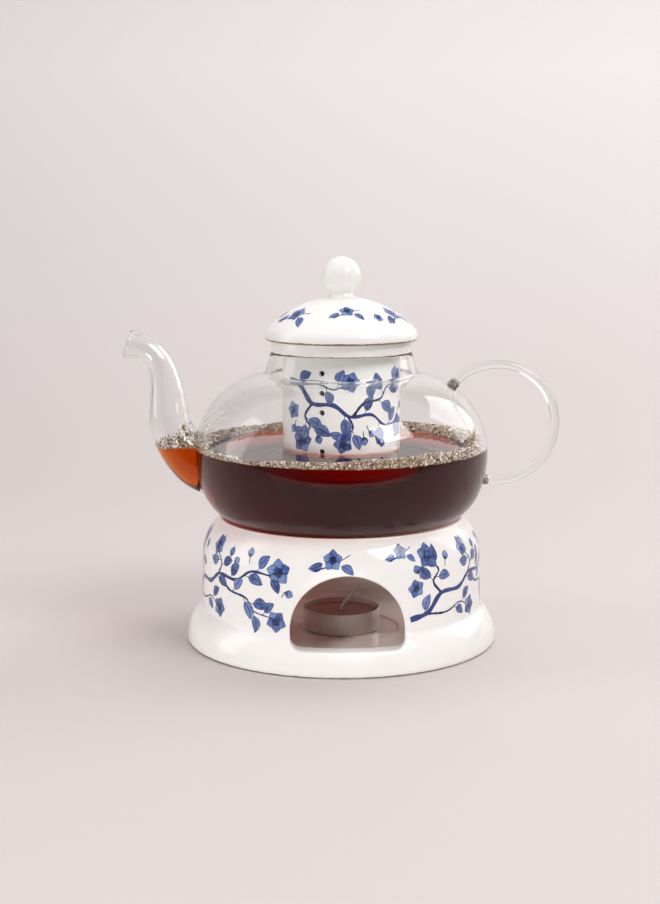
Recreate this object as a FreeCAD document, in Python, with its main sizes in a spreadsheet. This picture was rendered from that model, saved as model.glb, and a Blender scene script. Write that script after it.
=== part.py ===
import FreeCAD, Part
import math
import os
import Sketcher
from FreeCAD import Placement, Rotation, Vector

# Glass teapot on a porcelain warmer, in millimetres. The origin is the centre of the warmer's
# foot, +Z is up, the spout points to -X, the handle to +X and the front arch to -Y.

# Driving dimensions, one row of the sheet each
DRIVING = {
    # glass pot, from the seat up: foot, turn, belly, dome, neck
    "pot_radius": 71.6,
    "pot_foot_inset": 15.6,
    "pot_foot_curve": 26.6,
    "pot_turn_inset": 3.3,
    "pot_turn_height": 14.2,
    "pot_belly_rise": 18.0,
    "pot_dome_rise": 38.2,
    "neck_radius": 36.9,
    "neck_blend": 1.7,
    "neck_taper": 2.3,
    "neck_height": 10.8,
    "rim_rounding": 0.3,
    "glass_wall": 1.6,
    "glass_floor": 2.4,
    # warmer: the ring that carries the pot, round shoulder, drum wall and flared foot
    "warmer_height": 61.6,
    "seat_depth": 0.8,
    "seat_clearance": 1.8,
    "seat_thickness": 4.0,
    "seat_overlap": 18.0,
    "lip_width": 2.2,
    "lip_rounding": 0.5,
    "shoulder_inset": 8.2,
    "shoulder_drop": 18.6,
    "inner_shoulder_inset": 5.8,
    "warmer_taper": 0.6,
    "warmer_wall": 4.0,
    "flare_reach": 7.4,
    "flare_height": 16.8,
    "flare_ledge": 1.0,
    "flare_blend": 1.8,
    "base_edge_height": 1.8,
    "foot_ring_width": 9.0,
    "foot_recess": 1.2,
    "floor_height": 5.0,
    "floor_blend": 3.0,
    "candle_recess_margin": 9.5,
    "candle_recess_depth": 1.0,
    # three arches in the drum wall
    "arch_radius": 26.5,
    "arch_sill_height": 11.7,
    "arch_corner": 5.0,
    "arch_jamb": 2.6,
    "arch_turn": 2.3,
    "arch_count": 3,
    # spout: centre line of two bends and three straight runs
    "spout_standoff": 13.1,
    "spout_root_depth": 18.0,
    "spout_root_drop": 8.2,
    "spout_root_angle": 60.0,
    "spout_low_bend": 14.0,
    "spout_low_bend_rise": 15.0,
    "spout_riser_run": 17.6,
    "spout_high_bend": 20.0,
    "spout_mouth_angle": 74.0,
    "spout_mouth_run": 5.2,
    "spout_root_radius": 17.0,
    "spout_knee_radius": 13.0,
    "spout_riser_radius": 9.7,
    "spout_crook_radius": 7.4,
    "spout_neck_radius": 6.4,
    "spout_lip_radius": 6.7,
    "spout_wall": 1.6,
    # handle: a round loop of glass rod with a bead at each joint
    "handle_standoff": 4.4,
    "handle_rise": 14.2,
    "handle_loop_radius": 28.6,
    "handle_rod_radius": 2.1,
    "handle_bead_radius": 2.9,
    "handle_top_angle": 140.0,
    "handle_bottom_angle": 102.0,
    # infuser cup that hangs in the neck
    "infuser_gap": 4.3,
    "infuser_wall": 2.8,
    "infuser_foot_gap": 18.8,
    "infuser_floor": 3.0,
    "infuser_blend": 5.0,
    "flange_setback": 0.4,
    "flange_height": 6.0,
    "flange_rounding": 1.0,
    "flange_foot_rounding": 0.3,
    "hole_radius": 1.25,
    "hole_spacing": 9.3,
    "tall_hole_drop": 8.0,
    "tall_hole_rise": 8.0,
    "tall_hole_columns": 4,
    "tall_hole_turn": -19.0,
    "low_hole_rise": 12.5,
    "low_hole_rows": 1,
    "low_hole_columns": 12,
    "low_hole_turn": 2.0,
    "floor_hole_ring": 12.0,
    "floor_hole_count": 6,
    # lid with its collar and knob
    "lid_overhang": 2.9,
    "lid_edge_height": 1.5,
    "lid_edge_rounding": 0.6,
    "lid_brow_inset": 2.2,
    "lid_brow_height": 6.4,
    "lid_crown_rise": 14.0,
    "lid_wall": 3.0,
    "collar_clearance": 0.6,
    "collar_wall": 2.6,
    "collar_depth": 5.0,
    "knob_neck_radius": 5.5,
    "knob_neck_height": 2.6,
    "knob_flare": 1.5,
    "knob_radius": 9.4,
    # tealight
    "cup_radius": 19.0,
    "cup_height": 11.0,
    "cup_wall": 0.4,
    "cup_rounding": 1.2,
    "cup_rim_flare": 0.3,
    "wax_clearance": 0.1,
    "wax_drop": 2.4,
    "wax_dish": 0.6,
    "wax_rounding": 0.5,
    "sustainer_radius": 6.0,
    "sustainer_sheet": 0.4,
    "sustainer_collar_height": 3.0,
    "sustainer_collar_wall": 0.5,
    "wick_radius": 0.9,
    "wick_clearance": 0.1,
    "wick_stem": 0.6,
    "wick_bend": 4.0,
    "wick_lean": 36.0,
    "wick_run": 11.0,
}

FULL_TURN = 360.0
QUARTER_TURN = 90.0
HALF = 0.5
BEND_STEPS = 6
ROD_ROOT_TURN = 22.0  # degrees of handle rod that are drawn inside the glass and trimmed away


class Size:
    """A value and the sheet expression that gives it."""

    def __init__(self, value, text):
        self.value = float(value)
        self.text = text

    def __add__(self, other):
        other = as_size(other)
        return Size(self.value + other.value, f"({self.text} + {other.text})")

    def __sub__(self, other):
        other = as_size(other)
        return Size(self.value - other.value, f"({self.text} - {other.text})")

    def __mul__(self, other):
        other = as_size(other)
        return Size(self.value * other.value, f"({self.text} * {other.text})")

    def __truediv__(self, other):
        other = as_size(other)
        return Size(self.value / other.value, f"({self.text} / {other.text})")

    def __neg__(self):
        return Size(-self.value, f"(0 - {self.text})")


def as_size(number):
    """A bare number as a Size."""
    return number if isinstance(number, Size) else Size(number, str(float(number)))


def sine(angle):
    """Sine of an angle in degrees."""
    return Size(math.sin(math.radians(angle.value)), f"sin({angle.text})")


def cosine(angle):
    """Cosine of an angle in degrees."""
    return Size(math.cos(math.radians(angle.value)), f"cos({angle.text})")


def root(number):
    """Square root of a value."""
    return Size(math.sqrt(number.value), f"sqrt({number.text})")


def upright_arc(across, along):
    """Radius of the arc that leaves an upright line and ends that far across and along."""
    return (across * across + along * along) / (across * 2)


def make_sheet(doc):
    """The sheet of driving dimensions, and the same values by name."""
    sheet = doc.addObject("Spreadsheet::Sheet", "Sizes")
    for row, (name, number) in enumerate(DRIVING.items(), start=1):
        sheet.set(f"A{row}", name)
        sheet.set(f"B{row}", str(number))
        sheet.setAlias(f"B{row}", name)
    doc.recompute()
    return {name: Size(getattr(sheet, name), f"Sizes.{name}") for name in DRIVING}


def bind(thing, path, amount):
    """Ties one property of an object to the sheet."""
    thing.setExpression(path, amount.text)


def origin_feature(body, role):
    """A plane or axis of the body's own origin."""
    return next(item for item in body.Origin.OriginFeatures if item.Role == role)


def new_body(doc, name):
    """An empty body under the given name."""
    body = doc.addObject("PartDesign::Body", name)
    body.Label = name
    return body


def new_sketch(body, name, role="XZ_Plane"):
    """A sketch on one of the body's origin planes."""
    sketch = body.newObject("Sketcher::SketchObject", name)
    sketch.AttachmentSupport = [(origin_feature(body, role), "")]
    sketch.MapMode = "FlatFace"
    return sketch


def fix(sketch, kind, geometry, point, amount, name):
    """Holds one coordinate of a point, on an axis where the coordinate is a plain zero."""
    if amount.text == "0.0":
        axis = -2 if kind == "DistanceX" else -1
        sketch.addConstraint(Sketcher.Constraint("PointOnObject", geometry, point, axis))
        return
    index = sketch.addConstraint(Sketcher.Constraint(kind, -1, 1, geometry, point, amount.value))
    sketch.renameConstraint(index, name)
    bind(sketch, f"Constraints.{name}", amount)


def arc_between(start, end, radius):
    """Arc from start to end that turns left for a positive radius and right for a negative one."""
    chord = end - start
    reach = math.sqrt(max(radius * radius - chord.Length * chord.Length / 4, 0.0))
    left = Vector(-chord.y, chord.x, 0).normalize()
    centre = (start + end) * HALF + left * math.copysign(reach, radius)
    first, last = (start, end) if radius > 0 else (end, start)
    angles = [math.atan2(point.y - centre.y, point.x - centre.x) for point in (first, last)]
    circle = Part.Circle(centre, Vector(0, 0, 1), abs(radius))
    return Part.ArcOfCircle(circle, angles[0], angles[1])


def draw(sketch, corners, closed=True):
    """Draws an outline from corners (across, up, bend).

    The bend is None for a straight side to the next corner, or the radius of the arc that leads
    there, positive when it turns left. Every corner and radius is tied to the sheet.
    """
    corners = [(as_size(across), as_size(up), bend) for across, up, bend in corners]
    points = [Vector(across.value, up.value, 0) for across, up, bend in corners]
    count = len(corners) if closed else len(corners) - 1
    ends = []
    for index in range(count):
        start = points[index]
        end = points[(index + 1) % len(points)]
        bend = corners[index][2]
        if bend is None:
            geometry = sketch.addGeometry(Part.LineSegment(start, end), False)
            ends.append((geometry, 1, 2))
        else:
            geometry = sketch.addGeometry(arc_between(start, end, bend.value), False)
            ends.append((geometry, 1, 2) if bend.value > 0 else (geometry, 2, 1))
    for index in range(count if closed else count - 1):
        here = ends[index]
        after = ends[(index + 1) % len(ends)]
        sketch.addConstraint(Sketcher.Constraint("Coincident", here[0], here[2], after[0], after[1]))
    for index, (across, up, bend) in enumerate(corners):
        geometry, first, last = ends[min(index, count - 1)]
        point = first if index < count else last
        fix(sketch, "DistanceX", geometry, point, across, f"across_{index}")
        fix(sketch, "DistanceY", geometry, point, up, f"up_{index}")
        if bend is not None and index < count:
            size = bend if bend.value > 0 else -bend
            mark = sketch.addConstraint(Sketcher.Constraint("Radius", geometry, size.value))
            sketch.renameConstraint(mark, f"bend_{index}")
            bind(sketch, f"Constraints.bend_{index}", size)
    return sketch


def draw_circle(sketch, across, up, radius, name):
    """Draws one circle tied to the sheet."""
    across = as_size(across)
    up = as_size(up)
    circle = Part.Circle(Vector(across.value, up.value, 0), Vector(0, 0, 1), radius.value)
    geometry = sketch.addGeometry(circle, False)
    mark = sketch.addConstraint(Sketcher.Constraint("Radius", geometry, radius.value))
    sketch.renameConstraint(mark, f"{name}_radius")
    bind(sketch, f"Constraints.{name}_radius", radius)
    fix(sketch, "DistanceX", geometry, 3, across, f"{name}_across")
    fix(sketch, "DistanceY", geometry, 3, up, f"{name}_up")


def revolve(body, corners, name):
    """Turns an outline in the XZ plane about the Z axis."""
    sketch = draw(new_sketch(body, f"{name}_outline"), corners)
    turned = body.newObject("PartDesign::Revolution", f"{name}_turned")
    turned.Profile = sketch
    turned.ReferenceAxis = (sketch, ["V_Axis"])
    turned.Angle = FULL_TURN
    return turned


def cut_through(doc, body, sketch, name, depth):
    """Pocket of the given depth to the front of, or above, the sketch plane."""
    doc.recompute()
    before = body.Shape.Volume
    pocket = body.newObject("PartDesign::Pocket", name)
    pocket.Profile = sketch
    pocket.Type = "Length"
    bind(pocket, "Length", depth)
    pocket.Reversed = True
    doc.recompute()
    if body.Shape.Volume >= before:
        raise RuntimeError(f"{name} removes nothing")
    return pocket


def ring_pattern(body, feature, name, count):
    """Repeats a feature evenly round the Z axis."""
    pattern = body.newObject("PartDesign::PolarPattern", name)
    pattern.Originals = [feature]
    pattern.Axis = (origin_feature(body, "Z_Axis"), [""])
    pattern.Angle = FULL_TURN
    bind(pattern, "Occurrences", count)
    body.Tip = pattern
    return pattern


def turn_sketch(sketch, angle):
    """Turns a sketch of the XZ plane about the Z axis."""
    sketch.AttachmentOffset = Placement(Vector(0, 0, 0), Rotation(Vector(0, 1, 0), angle.value))
    bind(sketch, "AttachmentOffset.Rotation.Angle", angle)


def make_warmer(doc, size):
    """Porcelain stand: flared foot, floor, drum wall with three arches and the ring for the pot."""
    body = new_body(doc, "warmer")
    foot_radius = size["pot_radius"] - size["pot_foot_inset"]
    seat_edge = foot_radius + size["seat_clearance"]
    lip_edge = seat_edge + size["lip_width"]
    wall_top = lip_edge + size["shoulder_inset"]
    radius = wall_top + size["warmer_taper"]
    base_radius = radius + size["flare_reach"]
    lip_top = size["warmer_height"]
    shoulder_start = lip_top - size["shoulder_drop"]
    seat = lip_top - size["seat_depth"]
    ceiling = seat - size["seat_thickness"]
    inner_low = radius - size["warmer_wall"]
    inner_top = wall_top - size["warmer_wall"]
    inner_end = inner_top - size["inner_shoulder_inset"]
    heat_hole = foot_radius - size["seat_overlap"]
    ledge = radius + size["flare_ledge"]
    blend_top = size["flare_height"] + size["flare_blend"]
    floor = size["floor_height"]
    recess = candle_level(size)
    recess_radius = size["cup_radius"] + size["candle_recess_margin"]
    edge = size["base_edge_height"]
    rounding = size["lip_rounding"]
    foot_inner = base_radius - edge - size["foot_ring_width"]
    flare = upright_arc(base_radius - ledge, size["flare_height"] - edge)
    shoulder = upright_arc(size["shoulder_inset"], size["shoulder_drop"] - rounding)
    inner_shoulder = upright_arc(size["inner_shoulder_inset"], ceiling - shoulder_start)
    corners = [
        (0, size["foot_recess"], None),
        (foot_inner, size["foot_recess"], None),
        (foot_inner, 0, None),
        (base_radius - edge, 0, edge),
        (base_radius, edge, flare),
        (ledge, size["flare_height"], -upright_arc(size["flare_ledge"], size["flare_blend"])),
        (radius, blend_top, None),
        (wall_top, shoulder_start, shoulder),
        (lip_edge, lip_top - rounding, rounding * 2),
        (lip_edge - rounding, lip_top, None),
        (seat_edge + rounding, lip_top, rounding),
        (seat_edge, lip_top - rounding, None),
        (seat_edge, seat, None),
        (heat_hole, seat, None),
        (heat_hole, ceiling, None),
        (inner_end, ceiling, -inner_shoulder),
        (inner_top, shoulder_start, None),
        (inner_low, floor + size["floor_blend"], -size["floor_blend"]),
        (inner_low - size["floor_blend"], floor, None),
        (recess_radius, floor, None),
        (recess_radius, recess, None),
        (0, recess, None),
    ]
    revolve(body, corners, "warmer")
    arch = size["arch_radius"]
    corner = size["arch_corner"]
    sill = size["arch_sill_height"]
    spring = sill + corner + size["arch_jamb"]
    sketch = draw(new_sketch(body, "arch_outline"), [
        (corner - arch, sill, None),
        (arch - corner, sill, corner),
        (arch, sill + corner, None),
        (arch, spring, arch),
        (0, spring + arch, arch),
        (-arch, spring, None),
        (-arch, sill + corner, corner),
    ])
    turn_sketch(sketch, size["arch_turn"])
    pocket = cut_through(doc, body, sketch, "arch", base_radius * 2)
    ring_pattern(body, pocket, "arches", size["arch_count"])
    return body


def pot_levels(size):
    """Radii and heights that the pot's outer and inner outlines share."""
    seat = size["warmer_height"] - size["seat_depth"]
    turn = seat + size["pot_turn_height"]
    belly = turn + size["pot_belly_rise"]
    shoulder = belly + size["pot_dome_rise"]
    return {
        "seat": seat,
        "inner_floor": seat + size["glass_floor"],
        "turn": turn,
        "belly": belly,
        "shoulder": shoulder,
        "neck": shoulder + size["neck_blend"],
        "rim": shoulder + size["neck_height"],
        "foot_radius": size["pot_radius"] - size["pot_foot_inset"],
        "turn_radius": size["pot_radius"] - size["pot_turn_inset"],
        "neck_foot": size["neck_radius"] + size["neck_blend"],
        "rim_radius": size["neck_radius"] - size["neck_taper"],
    }


def pot_outside(size, at):
    """Outer outline of the pot from the foot to the foot of the neck."""
    radius = size["pot_radius"]
    lower = upright_arc(size["pot_turn_inset"], size["pot_belly_rise"])
    upper = upright_arc(radius - at["neck_foot"], size["pot_dome_rise"])
    return [
        (0, at["seat"], None),
        (at["foot_radius"], at["seat"], size["pot_foot_curve"]),
        (at["turn_radius"], at["turn"], lower),
        (radius, at["belly"], upper),
    ]


def make_pot_shell(doc, size):
    """Blown glass body with its foot, belly, shoulder and neck, before the spout is opened."""
    body = new_body(doc, "pot_shell")
    at = pot_levels(size)
    wall = size["glass_wall"]
    rounding = size["rim_rounding"]
    inner_radius = size["pot_radius"] - wall
    inner_shoulder = at["shoulder"] - wall
    inner_turn_radius = at["turn_radius"] - wall
    inner_turn = at["turn"] + wall * HALF
    inner_upper = upright_arc(inner_radius - at["neck_foot"], inner_shoulder - at["belly"])
    inner_lower = upright_arc(size["pot_turn_inset"], at["belly"] - inner_turn)
    corners = pot_outside(size, at) + [
        (at["neck_foot"], at["shoulder"], -size["neck_blend"]),
        (size["neck_radius"], at["neck"], None),
        (at["rim_radius"], at["rim"] - rounding, rounding),
        (at["rim_radius"] - rounding, at["rim"], None),
        (at["rim_radius"] - wall + rounding, at["rim"], rounding),
        (at["rim_radius"] - wall, at["rim"] - rounding, None),
        (size["neck_radius"] - wall, at["neck"], size["neck_blend"] + wall),
        (at["neck_foot"], inner_shoulder, -inner_upper),
        (inner_radius, at["belly"], -inner_lower),
        (inner_turn_radius, inner_turn, -(size["pot_foot_curve"] - wall)),
        (at["foot_radius"] - wall * HALF, at["inner_floor"], None),
        (0, at["inner_floor"], None),
    ]
    revolve(body, corners, "pot")
    return body


def make_pot_envelope(doc, size):
    """Solid of the pot's outer form, used to fit the spout and handle to it.

    It is turned so that its own seam lies clear of both.
    """
    body = new_body(doc, "pot_envelope")
    at = pot_levels(size)
    corners = pot_outside(size, at) + [
        (at["neck_foot"], at["shoulder"], None),
        (0, at["shoulder"], None),
    ]
    revolve(body, corners, "envelope")
    body.Placement = Placement(Vector(0, 0, 0), Rotation(Vector(0, 0, 1), QUARTER_TURN))
    return body


def spout_stations(size):
    """Stations along the spout's centre line: x, z, lean from upright in degrees and radius.

    From an upright section inside the belly a tapered root rises to the low bend, an upright riser
    follows, and the high bend leans the tube over to the mouth.
    """
    belly = pot_levels(size)["belly"]
    riser = -(size["pot_radius"] + size["spout_standoff"])
    low = size["spout_low_bend"]
    high = size["spout_high_bend"]
    low_z = belly + size["spout_low_bend_rise"]
    high_z = low_z + size["spout_riser_run"]
    root_angle = size["spout_root_angle"]
    mouth_angle = size["spout_mouth_angle"]
    knee = size["spout_knee_radius"]
    pipe = size["spout_riser_radius"]
    crook = size["spout_crook_radius"]
    neck = size["spout_neck_radius"]
    root_x = size["spout_root_depth"] - size["pot_radius"]
    stations = [(root_x, belly - size["spout_root_drop"], as_size(QUARTER_TURN), size["spout_root_radius"])]
    for step in range(BEND_STEPS + 1):
        share = step / BEND_STEPS
        lean = root_angle * (1 - share)
        x = riser + low - low * cosine(lean)
        z = low_z - low * sine(lean)
        stations.append((x, z, lean, knee + (pipe - knee) * share))
    for step in range(BEND_STEPS + 1):
        share = step / BEND_STEPS
        lean = mouth_angle * share
        x = riser - high + high * cosine(lean)
        z = high_z + high * sine(lean)
        thinning = 1 - (1 - share) * (1 - share)
        stations.append((x, z, lean, crook + (neck - crook) * thinning))
    x, z, lean, radius = stations[-1]
    run = size["spout_mouth_run"]
    stations.append((x - run * sine(lean), z + run * cosine(lean), lean, size["spout_lip_radius"]))
    return stations


def loft(doc, name, stations):
    """Solid of short tapers through round sections at the given stations."""
    rings = []
    for index, (x, z, lean, radius) in enumerate(stations):
        ring = doc.addObject("Part::Circle", f"{name}_ring_{index}")
        ring.Placement = Placement(Vector(x.value, 0, z.value), Rotation(Vector(0, -1, 0), lean.value))
        bind(ring, "Radius", radius)
        bind(ring, "Placement.Base.x", x)
        bind(ring, "Placement.Base.z", z)
        rings.append(ring)
    solid = doc.addObject("Part::Loft", name)
    solid.Sections = rings
    solid.Solid = True
    solid.Ruled = True
    return solid


def cut(doc, name, base, tool):
    """One shape with another taken away."""
    result = doc.addObject("Part::Cut", name)
    result.Base = base
    result.Tool = tool
    result.Label = name
    return result


def make_pot_and_spout(doc, size, envelope):
    """Pot body opened into the spout, and the spout fitted to the belly."""
    outer = spout_stations(size)
    wall = size["spout_wall"]
    inner = [(x, z, lean, radius - wall) for x, z, lean, radius in outer]
    x, z, lean, radius = inner[-1]
    inner.append((x - wall * sine(lean), z + wall * cosine(lean), lean, radius))
    tube = loft(doc, "spout_tube", outer)
    bore = loft(doc, "spout_bore", inner)
    pot_body = cut(doc, "pot_body", make_pot_shell(doc, size), bore)
    fitted = cut(doc, "spout_fitted", tube, envelope)
    spout = cut(doc, "spout", fitted, bore)
    return pot_body, spout


def make_handle(doc, size, envelope):
    """Round loop of glass rod, welded to the shoulder and to the belly with a bead at each end."""
    centre_x = size["pot_radius"] + size["handle_standoff"]
    centre_z = pot_levels(size)["belly"] + size["handle_rise"]
    loop = size["handle_loop_radius"]
    low_end = size["handle_bottom_angle"] + ROD_ROOT_TURN
    sweep = low_end + size["handle_top_angle"] + ROD_ROOT_TURN
    rod = doc.addObject("Part::Torus", "handle_rod")
    upright = Rotation(Vector(1, 0, 0), QUARTER_TURN)
    start = Rotation(Vector(0, 0, 1), -low_end.value)
    rod.Placement = Placement(Vector(centre_x.value, 0, centre_z.value), upright * start)
    bind(rod, "Radius1", loop)
    bind(rod, "Radius2", size["handle_rod_radius"])
    bind(rod, "Angle3", sweep)
    bind(rod, "Placement.Base.x", centre_x)
    bind(rod, "Placement.Base.z", centre_z)
    solids = [rod]
    for name, angle in (("top", size["handle_top_angle"]), ("bottom", -size["handle_bottom_angle"])):
        bead = doc.addObject("Part::Sphere", f"handle_bead_{name}")
        bind(bead, "Radius", size["handle_bead_radius"])
        bind(bead, "Placement.Base.x", centre_x + loop * cosine(angle))
        bind(bead, "Placement.Base.z", centre_z + loop * sine(angle))
        solids.append(bead)
    whole = doc.addObject("Part::MultiFuse", "handle_whole")
    whole.Shapes = solids
    return cut(doc, "handle", whole, envelope)


def hole_column(doc, body, size, name, lowest, rows, depth):
    """Upright column of round holes through the infuser wall, repeated round the cup."""
    sketch = new_sketch(body, f"{name}_outline")
    for row in range(rows):
        draw_circle(sketch, 0, lowest + size["hole_spacing"] * row, size["hole_radius"], f"hole_{row}")
    turn_sketch(sketch, size[f"{name}_turn"])
    pocket = cut_through(doc, body, sketch, name, depth)
    ring_pattern(body, pocket, f"{name}_ring", size[f"{name}_columns"])


def infuser_levels(size):
    """Radii and heights of the infuser that the lid shares."""
    at = pot_levels(size)
    radius = at["rim_radius"] - size["glass_wall"] - size["infuser_gap"]
    return {
        "radius": radius,
        "inner": radius - size["infuser_wall"],
        "reach": at["rim_radius"] - size["flange_setback"],
        "bottom": at["inner_floor"] + size["infuser_foot_gap"],
        "flange": at["rim"],
        "top": at["rim"] + size["flange_height"],
    }


def make_infuser(doc, size):
    """Porcelain cup with a flange that hangs on the pot's rim, pierced in the wall and the floor."""
    body = new_body(doc, "infuser")
    at = infuser_levels(size)
    radius = at["radius"]
    inner = at["inner"]
    reach = at["reach"]
    bottom = at["bottom"]
    blend = size["infuser_blend"]
    inner_blend = blend - size["infuser_wall"]
    rounding = size["flange_rounding"]
    foot_rounding = size["flange_foot_rounding"]
    inner_floor = bottom + size["infuser_floor"]
    corners = [
        (0, bottom, None),
        (radius - blend, bottom, blend),
        (radius, bottom + blend, None),
        (radius, at["flange"], None),
        (reach - foot_rounding, at["flange"], foot_rounding),
        (reach, at["flange"] + foot_rounding, None),
        (reach, at["top"] - rounding, rounding),
        (reach - rounding, at["top"], None),
        (inner + rounding, at["top"], rounding),
        (inner, at["top"] - rounding, None),
        (inner, inner_floor + inner_blend, -inner_blend),
        (inner - inner_blend, inner_floor, None),
        (0, inner_floor, None),
    ]
    revolve(body, corners, "infuser")
    highest = at["flange"] - size["tall_hole_drop"]
    room = highest - bottom - size["tall_hole_rise"]
    tall_rows = int(room.value / size["hole_spacing"].value) + 1
    lowest = highest - size["hole_spacing"] * (tall_rows - 1)
    low_rows = int(size["low_hole_rows"].value)
    hole_column(doc, body, size, "tall_hole", lowest, tall_rows, radius * 2)
    hole_column(doc, body, size, "low_hole", bottom + size["low_hole_rise"], low_rows, radius * 2)
    sketch = new_sketch(body, "floor_hole_outline", "XY_Plane")
    draw_circle(sketch, size["floor_hole_ring"], 0, size["hole_radius"], "hole")
    pocket = cut_through(doc, body, sketch, "floor_hole", inner_floor + size["infuser_floor"])
    ring_pattern(body, pocket, "floor_holes", size["floor_hole_count"])
    return body


def lid_levels(size):
    """Heights of the lid's seat, brow and crown, and the radius of the flat that carries the knob."""
    seat = infuser_levels(size)["top"]
    brow = seat + size["lid_brow_height"]
    return {
        "seat": seat,
        "brow": brow,
        "crown": brow + size["lid_crown_rise"],
        "knob_seat": size["knob_neck_radius"] + size["knob_flare"],
    }


def make_lid(doc, size):
    """Domed porcelain lid whose collar sits inside the infuser.

    The dome is a sphere about the axis through the brow and the edge of the knob's flat.
    """
    body = new_body(doc, "lid")
    at = lid_levels(size)
    cup = infuser_levels(size)
    seat = at["seat"]
    reach = cup["reach"] + size["lid_overhang"]
    rounding = size["lid_edge_rounding"]
    edge = seat + size["lid_edge_height"]
    brow_radius = reach - size["lid_brow_inset"]
    collar = cup["inner"] - size["collar_clearance"]
    hollow = collar - size["collar_wall"]
    knob_seat = at["knob_seat"]
    rise = size["lid_crown_rise"]
    drop = (brow_radius * brow_radius - knob_seat * knob_seat - rise * rise) / (rise * 2)
    curve = root(brow_radius * brow_radius + drop * drop)
    inner_curve = curve - size["lid_wall"]
    centre = at["brow"] - drop
    inner_edge = centre + root(inner_curve * inner_curve - hollow * hollow)
    corners = [
        (hollow, seat - size["collar_depth"], None),
        (collar, seat - size["collar_depth"], None),
        (collar, seat, None),
        (reach - rounding, seat, rounding),
        (reach, seat + rounding, None),
        (reach, edge, upright_arc(size["lid_brow_inset"], at["brow"] - edge)),
        (brow_radius, at["brow"], curve),
        (knob_seat, at["crown"], None),
        (0, at["crown"], None),
        (0, centre + inner_curve, -inner_curve),
        (hollow, inner_edge, None),
    ]
    revolve(body, corners, "lid")
    return body


def make_lid_knob(doc, size):
    """Ball knob on a short flared neck."""
    body = new_body(doc, "lid_knob")
    at = lid_levels(size)
    ball = size["knob_radius"]
    neck = size["knob_neck_radius"]
    neck_top = at["crown"] + size["knob_neck_height"]
    centre = neck_top + root(ball * ball - neck * neck)
    corners = [
        (0, at["crown"], None),
        (at["knob_seat"], at["crown"], -upright_arc(size["knob_flare"], size["knob_neck_height"])),
        (neck, neck_top, ball),
        (ball, centre, ball),
        (0, centre + ball, None),
    ]
    revolve(body, corners, "knob")
    return body


def candle_level(size):
    """Height of the recess that the tealight stands in."""
    return size["floor_height"] - size["candle_recess_depth"]


def wax_level(size):
    """Height of the wax, below the rim of the cup."""
    return candle_level(size) + size["cup_height"] - size["wax_drop"]


def make_tealight_cup(doc, size):
    """Pressed aluminium cup with a slightly flared rim."""
    body = new_body(doc, "tealight_cup")
    foot = candle_level(size)
    radius = size["cup_radius"]
    wall = size["cup_wall"]
    rounding = size["cup_rounding"]
    inner_rounding = rounding - wall
    rim = foot + size["cup_height"]
    flare = size["cup_rim_flare"]
    corners = [
        (0, foot, None),
        (radius - rounding, foot, rounding),
        (radius, foot + rounding, None),
        (radius, rim - wall * 2, None),
        (radius + flare, rim, None),
        (radius + flare - wall, rim, None),
        (radius - wall, rim - wall * 2, None),
        (radius - wall, foot + rounding, -inner_rounding),
        (radius - rounding, foot + wall, None),
        (0, foot + wall, None),
    ]
    revolve(body, corners, "cup")
    return body


def make_wick_sustainer(doc, size):
    """Round metal tab with a collar that holds the wick upright."""
    body = new_body(doc, "wick_sustainer")
    foot = candle_level(size) + size["cup_wall"]
    sheet = foot + size["sustainer_sheet"]
    bore = size["wick_radius"] + size["wick_clearance"]
    collar = bore + size["sustainer_collar_wall"]
    corners = [
        (bore, foot, None),
        (size["sustainer_radius"], foot, None),
        (size["sustainer_radius"], sheet, None),
        (collar, sheet, None),
        (collar, sheet + size["sustainer_collar_height"], None),
        (bore, sheet + size["sustainer_collar_height"], None),
    ]
    revolve(body, corners, "sustainer")
    return body


def make_tealight_wax(doc, size):
    """Wax puck, slightly dished on top, hollowed for the sustainer and the wick."""
    body = new_body(doc, "tealight_wax")
    gap = size["wax_clearance"]
    foot = candle_level(size) + size["cup_wall"]
    radius = size["cup_radius"] - size["cup_wall"] - gap
    rounding = size["cup_rounding"]
    top = wax_level(size)
    bore = size["wick_radius"] + size["wick_clearance"]
    sheet = foot + size["sustainer_sheet"]
    collar = bore + size["sustainer_collar_wall"]
    collar_top = sheet + size["sustainer_collar_height"]
    edge = size["wax_rounding"]
    corners = [
        (size["sustainer_radius"] + gap, foot, None),
        (radius - rounding, foot, rounding),
        (radius, foot + rounding, None),
        (radius, top - edge, edge),
        (radius - edge, top, None),
        (bore, top - size["wax_dish"], None),
        (bore, collar_top + gap, None),
        (collar + gap, collar_top + gap, None),
        (collar + gap, sheet + gap, None),
        (size["sustainer_radius"] + gap, sheet + gap, None),
    ]
    revolve(body, corners, "wax")
    return body


def make_tealight_wick(doc, size):
    """Wick that stands in the sustainer and leans to one side above the wax."""
    body = new_body(doc, "tealight_wick")
    foot = candle_level(size) + size["cup_wall"]
    bend_z = wax_level(size) + size["wick_stem"]
    bend = size["wick_bend"]
    lean = size["wick_lean"]
    bent_x = bend - bend * cosine(lean)
    bent_z = bend_z + bend * sine(lean)
    tip_x = bent_x + size["wick_run"] * sine(lean)
    tip_z = bent_z + size["wick_run"] * cosine(lean)
    path = draw(new_sketch(body, "wick_path"), [
        (0, foot, None),
        (0, bend_z, -bend),
        (bent_x, bent_z, None),
        (tip_x, tip_z, None),
    ], closed=False)
    section = new_sketch(body, "wick_section", "XY_Plane")
    draw_circle(section, 0, 0, size["wick_radius"], "wick")
    section.AttachmentOffset = Placement(Vector(0, 0, foot.value), Rotation())
    bind(section, "AttachmentOffset.Base.z", foot)
    doc.recompute()
    pipe = body.newObject("PartDesign::AdditivePipe", "wick_swept")
    pipe.Profile = section
    pipe.Spine = (path, [f"Edge{index + 1}" for index in range(len(path.Shape.Edges))])
    return body


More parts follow.
